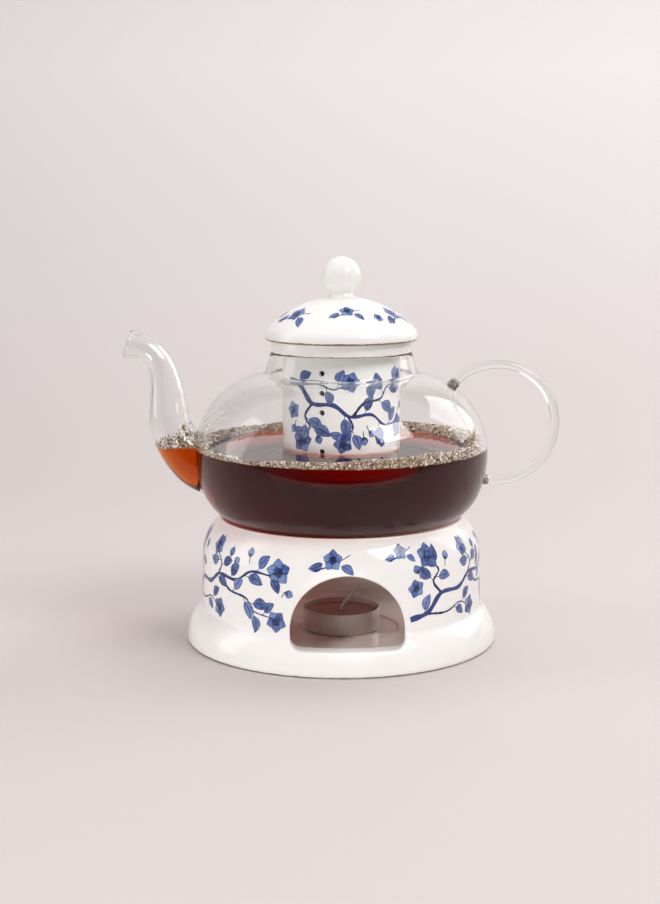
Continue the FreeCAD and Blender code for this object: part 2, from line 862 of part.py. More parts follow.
def check_built(doc, pieces):
    """Stops if any object failed or any piece is not one valid solid."""
    failed = [item.Name for item in doc.Objects if {"Invalid", "Error"} & set(item.State)]
    if failed:
        raise RuntimeError(f"failed objects: {failed}")
    for piece in pieces:
        shape = piece.Shape
        if shape.isNull() or not shape.isValid() or len(shape.Solids) != 1:
            raise RuntimeError(f"{piece.Label} is not one valid solid")


def main():
    doc = FreeCAD.newDocument("glass_teapot")
    size = make_sheet(doc)
    envelope = make_pot_envelope(doc, size)
    pot_body, spout = make_pot_and_spout(doc, size, envelope)
    pieces = [
        make_warmer(doc, size),
        pot_body,
        spout,
        make_handle(doc, size, envelope),
        make_infuser(doc, size),
        make_lid(doc, size),
        make_lid_knob(doc, size),
        make_tealight_cup(doc, size),
        make_wick_sustainer(doc, size),
        make_tealight_wax(doc, size),
        make_tealight_wick(doc, size),
    ]
    doc.recompute()
    check_built(doc, pieces)
    os.makedirs("parts", exist_ok=True)
    for piece in pieces:
        piece.Shape.exportStep(f"parts/{piece.Label}.step")
        box = piece.Shape.BoundBox
        print(f"{piece.Label}: {piece.Shape.Volume:.1f} mm3, x {box.XMin:.2f} to {box.XMax:.2f},"
              f" z {box.ZMin:.2f} to {box.ZMax:.2f}")


main()
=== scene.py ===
import bpy
import bmesh
import numpy as np
from math import asin, atan2, copysign, cos, degrees, hypot, pi, radians, sin, sqrt
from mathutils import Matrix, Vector
from types import SimpleNamespace


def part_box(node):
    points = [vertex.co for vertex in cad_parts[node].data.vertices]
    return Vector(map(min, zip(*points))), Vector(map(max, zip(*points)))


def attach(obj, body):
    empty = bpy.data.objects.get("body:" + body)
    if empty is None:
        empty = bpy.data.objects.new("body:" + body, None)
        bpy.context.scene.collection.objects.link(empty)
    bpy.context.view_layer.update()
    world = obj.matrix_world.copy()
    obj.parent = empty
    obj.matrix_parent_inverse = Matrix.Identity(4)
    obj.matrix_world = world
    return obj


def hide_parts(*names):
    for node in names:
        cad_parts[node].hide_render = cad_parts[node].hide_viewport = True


# glass teapot with a porcelain infuser and lid, on a porcelain warmer with a tealight
# lengths in the dictionaries are millimetres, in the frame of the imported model
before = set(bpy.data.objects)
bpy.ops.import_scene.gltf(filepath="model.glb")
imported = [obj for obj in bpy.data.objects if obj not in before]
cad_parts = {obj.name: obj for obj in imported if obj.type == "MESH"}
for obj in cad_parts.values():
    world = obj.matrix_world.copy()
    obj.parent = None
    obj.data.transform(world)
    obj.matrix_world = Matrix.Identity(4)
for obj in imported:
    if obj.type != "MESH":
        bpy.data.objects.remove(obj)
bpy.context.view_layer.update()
mm = 0.001
fullTurn = 2 * pi
seed = np.random.default_rng(11)
print("frame loaded:", ", ".join(sorted(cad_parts)))


def nodeHeight(node, end):
    return float(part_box(node)[end][2]) / mm


# heights that the pieces share; all but the tea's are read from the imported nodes
level = SimpleNamespace(
    seat=nodeHeight("pot_body", 0), rim=nodeHeight("pot_body", 1), flangeTop=nodeHeight("infuser", 1),
    candle=nodeHeight("tealight_cup", 0), tea=95.9)


# corners are (r, z) before a straight side, or (r, z, bend) with the radius of the arc to the next corner,
# turning left when positive
def outlinePoints(corners, spacing=0.8, closed=True):
    runs = []
    for corner, nextCorner in zip(corners, corners[1:] + (corners[:1] if closed else [])):
        start = np.array(corner[:2], float)
        chord = np.array(nextCorner[:2], float) - start
        length = np.hypot(*chord)
        if len(corner) == 2:
            steps = max(1, round(length / (2.5 * spacing)))
            runs.append(start + chord * np.linspace(0, 1, steps, endpoint=False)[:, None])
            continue
        bend = corner[2]
        reach = sqrt(max(bend * bend - length * length / 4, 0.0))
        left = np.array([-chord[1], chord[0]]) / length
        centre = start + chord / 2 + left * copysign(reach, bend)
        first = atan2(start[1] - centre[1], start[0] - centre[0])
        sweep = copysign(2 * asin(min(1.0, length / (2 * abs(bend)))), bend)
        steps = max(5, round(abs(sweep * bend) / spacing))
        angle = first + sweep * np.linspace(0, 1, steps, endpoint=False)
        runs.append(centre + abs(bend) * np.stack([np.cos(angle), np.sin(angle)], 1))
    if not closed:
        runs.append(np.array([corners[-1][:2]], float))
    return np.concatenate(runs)


# radius of the arc that leaves an upright line and ends that far across and along
def uprightArc(across, along):
    return (across * across + along * along) / (2 * across)


# a smooth line through the points: each span is a cubic whose end slopes come from its neighbours
def smoothLine(points, count):
    points = np.asarray(points, float)
    padded = np.concatenate([2 * points[:1] - points[1:2], points, 2 * points[-1:] - points[-2:-1]])
    place = np.linspace(0, len(points) - 1, count)
    span = np.minimum(place.astype(int), len(points) - 2)
    t = (place - span)[:, None]
    a, b, c, d = (padded[span + k] for k in range(4))
    bow, twist = 2 * a - 5 * b + 4 * c - d, 3 * b - a - 3 * c + d
    return 0.5 * (2 * b + (c - a) * t + bow * t ** 2 + twist * t ** 3)


# unit steps across a line, to its left
def leftOf(line):
    along = np.gradient(line, axis=0)
    return np.stack([-along[:, 1], along[:, 0]], 1) / np.hypot(along[:, 0], along[:, 1])[:, None]


def evenAngles(steps, start=0.0):
    return start + fullTurn * np.arange(steps) / steps


# quads of a grid of rows and columns, closed round either way where asked
def gridQuads(rows, columns, closeRows=False, closeColumns=False, first=0):
    i = np.arange(rows if closeRows else rows - 1)[:, None]
    j = np.arange(columns if closeColumns else columns - 1)[None, :]
    down, right = (i + 1) % rows, (j + 1) % columns
    corners = [i * columns + j, i * columns + right, down * columns + right, down * columns + j]
    return first + np.stack(np.broadcast_arrays(*corners), -1).reshape(-1, 4)


# points and quads of several grids as those of one mesh
def joinGrids(grids, closeColumns=True):
    first = np.cumsum([0] + [grid.shape[0] * grid.shape[1] for grid in grids])
    quads = [gridQuads(*grid.shape[:2], False, closeColumns, start) for grid, start in zip(grids, first)]
    return np.concatenate([grid.reshape(-1, 3) for grid in grids]), np.concatenate(quads)


# point = (r cos a, r sin a, z): the outline turned about the Z axis, a in even steps
def turnedGrid(outline, steps=192, start=0.0):
    angle = evenAngles(steps, start)
    r, z = outline[:, 0, None], outline[:, 1, None]
    return np.stack([r * np.cos(angle), r * np.sin(angle), z + 0 * angle], -1)


# point = c + cos(a) h + sin(a) |h| Y: a ring on the diameter from the lower to the upper line
def pipeGrid(lower, upper, steps=48):
    centre, half = (lower + upper) / 2, (upper - lower) / 2
    angle = evenAngles(steps)
    radius = np.hypot(half[:, 0], half[:, 1])[:, None]
    x = centre[:, 0, None] + half[:, 0, None] * np.cos(angle)
    z = centre[:, 1, None] + half[:, 1, None] * np.cos(angle)
    return np.stack([x, radius * np.sin(angle), z], -1)


# closes the open ends of a pipe by a point in the middle of each end ring
def closeEnds(grid):
    first, last = (np.broadcast_to(grid[k].mean(0), grid[k].shape)[None] for k in (0, -1))
    return np.concatenate([first, grid, last])


# points turned about the Z axis
def turnAbout(points, angle):
    c, s = cos(angle), sin(angle)
    return points @ np.array([[c, s, 0], [-s, c, 0], [0, 0, 1]])


def linkObject(name, data):
    holder = bpy.data.objects.new(name, data)
    bpy.context.scene.collection.objects.link(holder)
    return holder


def linkMesh(name, points, faces):
    mesh = bpy.data.meshes.new(name)
    mesh.from_pydata((points.reshape(-1, 3) * mm).tolist(), [], faces.tolist())
    mesh.shade_smooth()
    return linkObject(name, mesh)


def smoothen(piece, sharp):
    piece.data.shade_smooth()
    piece.data.set_sharp_from_angle(angle=radians(sharp))
    return piece


# a closed piece: doubles merged, faces turned outwards, edges sharper than the angle kept sharp
def meshFrom(name, points, quads, sharp=35.0):
    piece = linkMesh(name, points, quads)
    work = bmesh.new()
    work.from_mesh(piece.data)
    bmesh.ops.remove_doubles(work, verts=work.verts, dist=2e-6)
    bmesh.ops.recalc_face_normals(work, faces=work.faces)
    work.to_mesh(piece.data)
    work.free()
    return smoothen(piece, sharp)


def turnedPiece(name, corners, spacing=0.8, steps=192, sharp=35.0):
    grid = turnedGrid(outlinePoints(corners, spacing), steps)
    return meshFrom(name, grid, gridQuads(grid.shape[0], steps, True, True), sharp)


def pipePiece(name, grid):
    return meshFrom(name, *joinGrids([closeEnds(grid)]))


# joins, cuts or keeps the overlap of two closed pieces, and drops the tool
def carve(piece, tool, operation):
    modifier = piece.modifiers.new("carve", "BOOLEAN")
    modifier.operation = operation
    modifier.object = tool
    modifier.solver = "EXACT"
    graph = bpy.context.evaluated_depsgraph_get()
    mesh = bpy.data.meshes.new_from_object(piece.evaluated_get(graph))
    piece.modifiers.clear()
    piece.data = mesh
    bpy.data.objects.remove(tool)


def faceValues(piece, key):
    values = np.zeros(len(piece.data.polygons) * 3)
    piece.data.polygons.foreach_get(key, values)
    return values.reshape(-1, 3)


# one value for each FACE or POINT of the mesh
def setAttribute(piece, name, domain, values):
    piece.data.attributes.new(name, "FLOAT", domain).data.foreach_set("value", values.astype(np.float32))


def dress(piece, body, slot, material, *nodes):
    if not piece.data.materials:
        piece.data.materials.append(material)
    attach(piece, body)
    if nodes:
        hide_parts(*nodes)
    print(piece.name + ":", len(piece.data.polygons), "faces")
    return piece


# materials

def newMaterial(name):
    material = bpy.data.materials.new(name)
    material.use_nodes = True
    return material, material.node_tree, material.node_tree.nodes["Principled BSDF"]


# writes numbers and colours on the named inputs of a node, and links the sockets of other nodes to them
def feed(tree, node, inputs):
    for key, value in inputs.items():
        socket = node.inputs[key]
        if isinstance(value, tuple):
            socket.default_value = (*value, 1.0)
        elif isinstance(value, (int, float)):
            socket.default_value = value
        else:
            tree.links.new(value, socket)


def addNode(tree, kind, inputs={}, **settings):
    node = tree.nodes.new("ShaderNode" + kind)
    for key, value in settings.items():
        setattr(node, key, value)
    feed(tree, node, inputs)
    return node


def mathNode(tree, operation, *values, clamp=False):
    return addNode(tree, "Math", dict(enumerate(values)), operation=operation, use_clamp=clamp).outputs[0]


def mixColours(tree, factor, first, second):
    return addNode(tree, "Mix", {0: factor, 6: first, 7: second}, data_type="RGBA").outputs[2]


def splitVector(tree, vector):
    return addNode(tree, "SeparateXYZ", {0: vector}).outputs


def objectPlace(tree):
    return addNode(tree, "TexCoord").outputs["Object"]


def attributeValue(tree, name):
    return addNode(tree, "Attribute", attribute_name=name).outputs["Fac"]


def bumpNormal(tree, height, strength, distance):
    return addNode(tree, "Bump", {"Height": height, "Strength": strength, "Distance": distance}).outputs[0]


# a written colour of 0 to 255 as the linear value that the sockets take
def tint(red, green, blue):
    share = np.array([red, green, blue]) / 255
    linear = np.where(share <= 0.04045, share / 12.92, ((share + 0.055) / 1.055) ** 2.4)
    return tuple(float(value) for value in linear)


# shared effect: slow and fine noise over the surface, as a glaze or a casting has it
def makeUneven():
    group = bpy.data.node_groups.new("unevenSurface", "ShaderNodeTree")
    noises = (("Slow", 40, "Wash", 3), ("Fine", 900, "Grain", 2))
    for entry, scale, result, detail in noises:
        group.interface.new_socket(entry, in_out="INPUT", socket_type="NodeSocketFloat").default_value = scale
        group.interface.new_socket(result, in_out="OUTPUT", socket_type="NodeSocketFloat")
    inside, outside = group.nodes.new("NodeGroupInput"), group.nodes.new("NodeGroupOutput")
    place = objectPlace(group)
    for entry, scale, result, detail in noises:
        inputs = {"Vector": place, "Scale": inside.outputs[entry], "Detail": detail}
        noise = addNode(group, "TexNoise", inputs)
        feed(group, outside, {result: noise.outputs["Fac"]})
    return group


unevenSurface = makeUneven()


def addUneven(tree, slow, fine):
    node = addNode(tree, "Group", {"Slow": slow, "Fine": fine}, node_tree=unevenSurface)
    return node.outputs["Wash"], node.outputs["Grain"]


porcelain = {
    "glaze": (tint(240, 237, 234), tint(246, 244, 242)),
    "inside": (tint(238, 227, 220), tint(246, 238, 233)),   # pinker, a little darker tones inside the warmer: painted warm shade
    "clayAndContactShade": tint(150, 118, 98),                             # bare clay where the glaze is wiped off, also standing in for painted contact shade at that edge
    "noise": (35.0, 260.0), "bump": (0.12, 0.0004), "roughness": 0.11, "index": 1.52,
}


# glaze; the edge argument is (height, half width, least radius) of a thin brown line at an edge the piece
# rests on: partly bare clay where the glaze is wiped off, partly painted contact shade
def porcelainMaterial(name, bareAndShadedEdge=None, tones="glaze"):
    material, tree, shader = newMaterial(name)
    wash, grain = addUneven(tree, *porcelain["noise"])
    colour = mixColours(tree, wash, *porcelain[tones])
    if bareAndShadedEdge is not None:
        # the brown line: bare clay and painted contact shade
        height, half, least = bareAndShadedEdge
        x, y, z = splitVector(tree, objectPlace(tree))
        square = mathNode(tree, "ADD", mathNode(tree, "MULTIPLY", x, x), mathNode(tree, "MULTIPLY", y, y))
        far = mathNode(tree, "GREATER_THAN", mathNode(tree, "SQRT", square), least * mm)
        apart = mathNode(tree, "ABSOLUTE", mathNode(tree, "SUBTRACT", z, height * mm))
        line = mathNode(tree, "LESS_THAN", apart, mathNode(tree, "MULTIPLY", grain, 2 * half * mm))
        colour = mixColours(tree, mathNode(tree, "MULTIPLY", line, far), colour, porcelain["clayAndContactShade"])
    feed(tree, shader, {"Base Color": colour, "Roughness": porcelain["roughness"], "IOR": porcelain["index"],
                        "Normal": bumpNormal(tree, wash, *porcelain["bump"])})
    return material


glass = {"index": 1.41, "pipeIndex": 1.5, "colour": (0.985, 0.992, 0.99), "shadow": (0.965, 0.972, 0.97)}
tea = {"index": 1.33, "passed": (0.915, 0.64, 0.0), "density": 330.0, "clear": (1.0, 1.0, 1.0), "grow": 0.15,
       "hollowGap": 0.5, "boreGap": 0.75}   # how near a wet face lies to the hollow, and to the bore in walls


# clear matter that lets the lamps through, so that what stands in it is lit; each face has its own index,
# kept in the attribute "bend"
def clearMaterial(name, colour, shadow):
    material, tree, shader = newMaterial(name)
    feed(tree, shader, {"Base Color": colour, "Roughness": 0.0, "Transmission Weight": 1.0,
                        "IOR": attributeValue(tree, "bend")})
    through = addNode(tree, "BsdfTransparent", {"Color": shadow})
    shadowRay = addNode(tree, "LightPath").outputs["Is Shadow Ray"]
    mix = addNode(tree, "MixShader", {0: shadowRay, 1: shader.outputs["BSDF"], 2: through.outputs["BSDF"]})
    feed(tree, tree.nodes["Material Output"], {"Surface": mix.outputs["Shader"]})
    return material


# black tea: the volume takes out blue in a few millimetres and red only over the width of the pot
def teaMaterial():
    material = clearMaterial("blackTea", tea["clear"], tea["clear"])
    tree = material.node_tree
    volume = addNode(tree, "VolumeAbsorption", {"Color": tea["passed"], "Density": tea["density"]})
    feed(tree, tree.nodes["Material Output"], {"Volume": volume.outputs["Volume"]})
    return material


print("materials ready")

# warmer

warmerSize = {
    "base": 76.2, "edge": 1.8, "flareTop": 16.8, "ledge": 69.8, "wallLow": 68.8, "wallLowZ": 18.6,
    "wallTop": 68.2, "shoulder": 43.0, "lip": 60.0, "lipTop": 61.6, "lipRound": 0.5,
    "seatEdge": 57.8, "heatHole": 38.0, "holeRound": 1.0, "ceiling": 56.8, "wall": 4.0, "innerEnd": 58.4,
    "floor": 5.0, "floorBlend": 3.0, "recess": 28.5, "recessRound": 0.8,
    "footRing": 65.4, "footRecess": 1.2, "footRound": 0.6,
    "arch": 26.5, "sill": 11.7, "corner": 5.0, "spring": 19.3, "archTurn": 2.3, "archEdge": 1.1,
    "panels": 3, "across": 80, "up": 52, "rowsOut": 30, "rowsIn": 12, "rowsEdge": 7, "ease": 1.25,
    "spacing": 0.9,
}
warmer = SimpleNamespace(**warmerSize)
lipLow = warmer.lipTop - warmer.lipRound
innerLow, innerTop = warmer.wallLow - warmer.wall, warmer.wallTop - warmer.wall

outerWall = outlinePoints([
    (warmer.base, warmer.edge, uprightArc(warmer.base - warmer.ledge, warmer.flareTop - warmer.edge)),
    (warmer.ledge, warmer.flareTop,
     -uprightArc(warmer.ledge - warmer.wallLow, warmer.wallLowZ - warmer.flareTop)),
    (warmer.wallLow, warmer.wallLowZ),
    (warmer.wallTop, warmer.shoulder, uprightArc(warmer.wallTop - warmer.lip, lipLow - warmer.shoulder)),
    (warmer.lip, lipLow),
], 0.1, closed=False)
innerWall = outlinePoints([
    (innerLow, warmer.floor + warmer.floorBlend),
    (innerTop, warmer.shoulder, uprightArc(innerTop - warmer.innerEnd, warmer.ceiling - warmer.shoulder)),
    (warmer.innerEnd, warmer.ceiling),
], 0.1, closed=False)


# radius of the wall's outside and inside at a height
def outerRadius(z):
    return np.interp(z, outerWall[:, 1], outerWall[:, 0])


def innerRadius(z):
    return np.interp(z, innerWall[:, 1], innerWall[:, 0])


# one third of the drum wall as rows of closed loops: the loops run from the edge of the panel in to
# the arch on the outside, round the arch's edge, through the wall and out again on the inside
def warmerPanel():
    reach, across, up = pi / warmer.panels, warmer.across, warmer.up
    side = np.linspace(-reach, reach, across + 1)
    share = np.linspace(0, 1, up + 1)

    # loop round the panel in angle and height, anticlockwise from the lower left
    def panelLoop(wall):
        length = np.concatenate([[0], np.cumsum(np.hypot(*np.diff(wall, axis=0).T))])
        z = np.interp(share * length[-1], length, wall[:, 1])
        angle = np.concatenate([side[:-1], np.full(up, reach), side[:0:-1], np.full(up, -reach)])
        height = np.concatenate([np.full(across, z[0]), z[:-1], np.full(across, z[-1]), z[:0:-1]])
        return angle, height

    arch, corner, sill, spring = warmer.arch, warmer.corner, warmer.sill, warmer.spring
    outline = outlinePoints([
        (corner - arch, sill), (arch - corner, sill, corner), (arch, sill + corner),
        (arch, spring, arch), (0, spring + arch, arch), (-arch, spring), (-arch, sill + corner, corner),
    ], 0.2)
    middle = (sill + spring + arch) / 2
    bearing = np.arctan2(outline[:, 1] - middle, outline[:, 0])
    order = np.argsort(bearing)
    angleOut, heightOut = panelLoop(outerWall)
    angleIn, heightIn = panelLoop(innerWall)
    aim = np.arctan2(heightOut - middle, angleOut * warmer.wallLow)
    archX, archZ = (np.interp(aim, bearing[order], outline[order, k], period=fullTurn) for k in (0, 1))
    alongX, alongZ = (np.roll(line, -1) - np.roll(line, 1) for line in (archX, archZ))
    size = np.hypot(alongX, alongZ)
    outX, outZ = alongZ / size, -alongX / size
    rounding = warmer.archEdge

    # rows on a wall between the panel's edge (share 1) and the arch's rounded edge (share 0)
    def wallRows(shares, angle, height, radius):
        startX, startZ = archX + outX * rounding, archZ + outZ * rounding
        startAngle = np.arcsin(startX / radius(startZ))
        a = startAngle + (angle - startAngle) * shares[:, None]
        z = startZ + (height - startZ) * shares[:, None]
        r = radius(z)
        return np.stack([r * np.sin(a), -r * np.cos(a), z], -1)

    # quarter round from the wall into the arch: turn 0 lies on the wall, a quarter turn in the arch
    def edgeRows(turns, radius, inward):
        turns = turns[:, None]
        x = archX + outX * rounding * (1 - np.sin(turns))
        z = archZ + outZ * rounding * (1 - np.sin(turns))
        y = -np.sqrt(radius(z) ** 2 - x ** 2) + inward * rounding * (1 - np.cos(turns))
        return np.stack([x, y, z], -1)

    quarter = np.linspace(0, pi / 2, warmer.rowsEdge)
    easeOut = np.linspace(1, 0, warmer.rowsOut + 1) ** warmer.ease
    easeIn = np.linspace(0, 1, warmer.rowsIn + 1) ** warmer.ease
    return np.concatenate([
        wallRows(easeOut, angleOut, heightOut, outerRadius)[:-1],
        edgeRows(quarter, outerRadius, 1.0),
        edgeRows(quarter[::-1], innerRadius, -1.0),
        wallRows(easeIn, angleIn, heightIn, innerRadius)[1:],
    ])


# three turned panels, and the foot, the ring under the pot and the floor as turned outlines
def makeWarmer():
    panel = warmerPanel()
    turn, third = radians(warmer.archTurn), fullTurn / warmer.panels
    grids = [turnAbout(panel, turn + k * third) for k in range(warmer.panels)]
    edge, footRound, recessRound, blend = warmer.edge, warmer.footRound, warmer.recessRound, warmer.floorBlend
    lip, hole, holeRound = warmer.lipRound, warmer.heatHole, warmer.holeRound
    foot = [
        (warmer.base, edge, -edge), (warmer.base - edge, 0),
        (warmer.footRing + footRound, 0, -footRound), (warmer.footRing, footRound),
        (warmer.footRing, warmer.footRecess), (0, warmer.footRecess)]
    ring = [
        (warmer.lip, lipLow, 2 * lip), (warmer.lip - lip, warmer.lipTop),
        (warmer.seatEdge + lip, warmer.lipTop, lip), (warmer.seatEdge, lipLow),
        (warmer.seatEdge, level.seat), (hole + holeRound, level.seat, holeRound),
        (hole, level.seat - holeRound), (hole, warmer.ceiling + holeRound, holeRound),
        (hole + holeRound, warmer.ceiling), (warmer.innerEnd, warmer.ceiling)]
    floor = [
        (innerLow, warmer.floor + blend, -blend), (innerLow - blend, warmer.floor),
        (warmer.recess + recessRound, warmer.floor, recessRound),
        (warmer.recess, warmer.floor - recessRound),
        (warmer.recess, level.candle), (0, level.candle)]
    start = turn - pi / 2 - pi / warmer.panels
    for corners in (foot, ring, floor):
        outline = outlinePoints(corners, warmer.spacing, closed=False)
        grids.append(turnedGrid(outline, warmer.panels * warmer.across, start))
    return meshFrom("warmer_porcelain", *joinGrids(grids), 40.0)


# faces inside the chamber, found by height and radius, have the pinker tones of painted warm shade
def dressWarmer():
    # brown line round the foot: bare clay and painted contact shade where the warmer stands
    glaze = porcelainMaterial("warmerGlaze", (0.0, 0.5, warmer.footRing))
    piece = dress(makeWarmer(), "warmer", "porcelain", glaze, "warmer")
    # the chamber's material paints the warm shade inside the warmer
    piece.data.materials.append(porcelainMaterial("warmerInsidePaintedShade", tones="inside"))
    x, y, z = faceValues(piece, "center").T / mm
    inside = (z > level.candle - 0.3) & (z < warmer.ceiling + 0.2) & (np.hypot(x, y) < innerRadius(z) + 0.4)
    piece.data.polygons.foreach_set("material_index", inside.astype(np.int32))


dressWarmer()

# glass pot with spout and handle

potSize = {
    "radius": 71.6, "foot": 56.0, "footCurve": 26.6, "turn": 68.3, "turnZ": 75.0, "bellyZ": 93.0,
    "neckFoot": 38.6, "shoulderZ": 131.2, "neck": 36.9, "neckBlend": 1.7, "rim": 34.6,
    "wall": 1.6, "floor": 2.4, "rimRound": 0.7, "rimOver": 4.0,
    # foot ring and the dished floor inside it
    "ringWide": 4.5, "ringSlope": 7.0, "ringRise": 1.0, "dish": 1.4,
    "floorFlat": 8.0, "floorEdge": 0.8, "floorDome": 0.8,
    # lower and upper line of the spout, from inside the belly to the mouth
    "spoutLower": [(-54, 68), (-67.7, 72), (-76.9, 76.9), (-83.4, 83.5), (-88, 90.2), (-91.5, 97.4),
                   (-93.2, 102.8), (-93.9, 108.9), (-93.6, 117.8), (-93.1, 124.3), (-93.6, 130.9),
                   (-95.4, 135.5), (-99.4, 138.6), (-105.4, 139.2)],
    "spoutUpper": [(-52, 100), (-63, 101), (-70, 103.5), (-73.2, 107), (-74.4, 110.5), (-75, 113.5),
                   (-75.4, 116), (-76, 119), (-77.2, 124.5), (-78.8, 130), (-81, 136), (-84.8, 142.4),
                   (-91.4, 148.6), (-101.3, 152.3)],
    "spoutWall": 1.5, "spoutRows": 150,
    # rings past the mouth, each that far along and that much wider
    "lipRings": [(0.25, -0.04), (0.5, -0.2), (0.65, -0.5)],
    "boreRings": [(0.3, 0.1), (0.55, 0.45), (0.7, 0.9), (2.0, 0.9)], "plainRing": [(0.5, 0.0)],
    "loopX": 76.0, "loopZ": 107.2, "loop": 28.6, "rod": 2.1, "bead": 2.7, "beadSpread": 4.5,
    "loopTop": 140.0, "loopBottom": -102.0, "loopRoot": 20.0, "loopRows": 120, "loopSides": 32,
}
pot = SimpleNamespace(**potSize)


# outside of the pot: dished foot, belly, shoulder, neck and rounded rim, closed across the top
def potOutside(top):
    foot, seat = pot.foot, level.seat
    return [
        (0, seat + pot.dish), (foot - pot.ringSlope, seat + pot.ringRise),
        (foot - pot.ringWide, seat), (foot, seat, pot.footCurve),
        (pot.turn, pot.turnZ, uprightArc(pot.radius - pot.turn, pot.bellyZ - pot.turnZ)),
        (pot.radius, pot.bellyZ, uprightArc(pot.radius - pot.neckFoot, pot.shoulderZ - pot.bellyZ)),
        (pot.neckFoot, pot.shoulderZ, -pot.neckBlend),
        (pot.neck, pot.shoulderZ + pot.neckBlend),
        (pot.rim, top - pot.rimRound, pot.rimRound), (pot.rim - pot.rimRound, top), (0, top),
    ]


# hollow of the pot, a little larger by grow; it runs out through the rim with a rounded edge
def potInside(top, grow=0.0):
    wall = pot.wall - grow
    inner, turnZ, mouth = pot.radius - wall, pot.turnZ + wall / 2, pot.rim - wall
    floor = level.seat + pot.floor - grow
    return [
        (0, floor + pot.floorDome), (pot.foot - pot.floorFlat, floor),
        (pot.foot - pot.floorEdge, floor, pot.footCurve - wall),
        (pot.turn - wall, turnZ, uprightArc(pot.radius - pot.turn, pot.bellyZ - turnZ)),
        (inner, pot.bellyZ, uprightArc(inner - pot.neckFoot, pot.shoulderZ - wall - pot.bellyZ)),
        (pot.neckFoot, pot.shoulderZ - wall, -(pot.neckBlend + wall)),
        (pot.neck - wall, pot.shoulderZ + pot.neckBlend),
        (mouth, top - pot.rimRound, -pot.rimRound), (mouth + pot.rimRound, top),
        (mouth + pot.rimRound, top + pot.rimOver), (0, top + pot.rimOver),
    ]


def spoutLines():
    return smoothLine(pot.spoutLower, pot.spoutRows), smoothLine(pot.spoutUpper, pot.spoutRows)


# rings between the two lines of the spout; inset makes the pipe thinner all round, and the end rings
# go on past the mouth
def spoutGrid(inset, endRings):
    lower, upper = spoutLines()
    way = (upper - lower) / np.linalg.norm(upper - lower, axis=1)[:, None]
    lower, upper = lower + way * inset, upper - way * inset
    out = np.array([-way[-1, 1], way[-1, 0]])
    along, wider = np.array(endRings)[:, :1], np.array(endRings)[:, 1:]
    lower = np.concatenate([lower, lower[-1] + along * out - wider * way[-1]])
    upper = np.concatenate([upper, upper[-1] + along * out + wider * way[-1]])
    return pipeGrid(lower, upper)


# handle: rings on middle + (loop -+ rod) (cos a, sin a), the rod swelling to a bead at both welds
def handleGrid():
    low, high = pot.loopBottom - pot.loopRoot, pot.loopTop + pot.loopRoot
    angle = np.linspace(radians(low), radians(high), pot.loopRows)
    ray = np.stack([np.cos(angle), np.sin(angle)], 1)
    middle = np.array([pot.loopX, pot.loopZ])
    welds = (pot.loopTop, pot.loopBottom)
    knot = sum(np.exp(-((np.degrees(angle) - at) / pot.beadSpread) ** 2) for at in welds)
    rod = (pot.rod + (pot.bead - pot.rod) * knot)[:, None]
    return pipeGrid(middle + ray * (pot.loop - rod), middle + ray * (pot.loop + rod), pot.loopSides)


def makeGlassPot():
    piece = turnedPiece("glass_pot", potOutside(level.rim))
    carve(piece, pipePiece("spoutOutside", spoutGrid(0.0, pot.lipRings)), "UNION")
    carve(piece, pipePiece("handleLoop", handleGrid()), "UNION")
    carve(piece, turnedPiece("potHollow", potInside(level.rim)), "DIFFERENCE")
    carve(piece, pipePiece("spoutBore", spoutGrid(pot.spoutWall, pot.boreRings)), "DIFFERENCE")
    return smoothen(piece, 30.0)


# faces of the hollow and the bore that tea wets: those close to the hollow's outline or the bore's wall
def wetFaces(centres, across):
    below = centres[:, 2] < level.tea
    flat = np.stack([across, centres[:, 2]], 1)
    outline = outlinePoints(potInside(level.rim), 0.4)
    wet = (np.min(np.linalg.norm(flat[:, None] - outline[None], axis=2), axis=1) < tea["hollowGap"]) & below
    bore = spoutGrid(pot.spoutWall, pot.plainRing)
    bore = np.concatenate([bore, (bore + np.roll(bore, 1, axis=1)) / 2], axis=1).reshape(-1, 3)
    bore = bore[bore[:, 2] < level.tea + 2]
    near = np.flatnonzero((centres[:, 0] < -pot.neckFoot) & (across > pot.radius - pot.wall - 1) & below)
    boreGap = np.min(np.linalg.norm(centres[near, None] - bore[None], axis=2), axis=1)
    wet[near] |= boreGap < tea["boreGap"] * pot.spoutWall
    return wet


# above the tea, the spout and the handle are of thicker glass with a stronger bend than the blown body
def glassBend(piece):
    centres = faceValues(piece, "center") / mm
    across = np.hypot(centres[:, 0], centres[:, 1])
    pipes = (across > pot.radius + 0.3) & (centres[:, 2] > level.tea)
    index = np.where(pipes, glass["pipeIndex"], glass["index"])
    return index / np.where(wetFaces(centres, across), tea["index"], 1.0)


potPiece = makeGlassPot()
dress(potPiece, "pot", "clear_glass", clearMaterial("clearGlass", glass["colour"], glass["shadow"]),
      "pot_body", "spout", "handle")
setAttribute(potPiece, "bend", "FACE", glassBend(potPiece))

weldSize = {"spots": [(55.4, 126.0), (70.2, 78.6)], "radius": 2.3, "sides": 20, "rows": 11,
            "noise": (700.0, 1900.0), "dark": tint(60, 48, 42), "light": tint(206, 198, 192), "speck": 0.52,
            "roughness": 0.25}


def weldMaterial():
    material, tree, shader = newMaterial("weldBead")
    grain = addUneven(tree, *weldSize["noise"])[1]
    speck = mathNode(tree, "GREATER_THAN", grain, weldSize["speck"])
    colour = mixColours(tree, speck, weldSize["dark"], weldSize["light"])
    feed(tree, shader, {"Base Color": colour, "Roughness": weldSize["roughness"]})
    return material


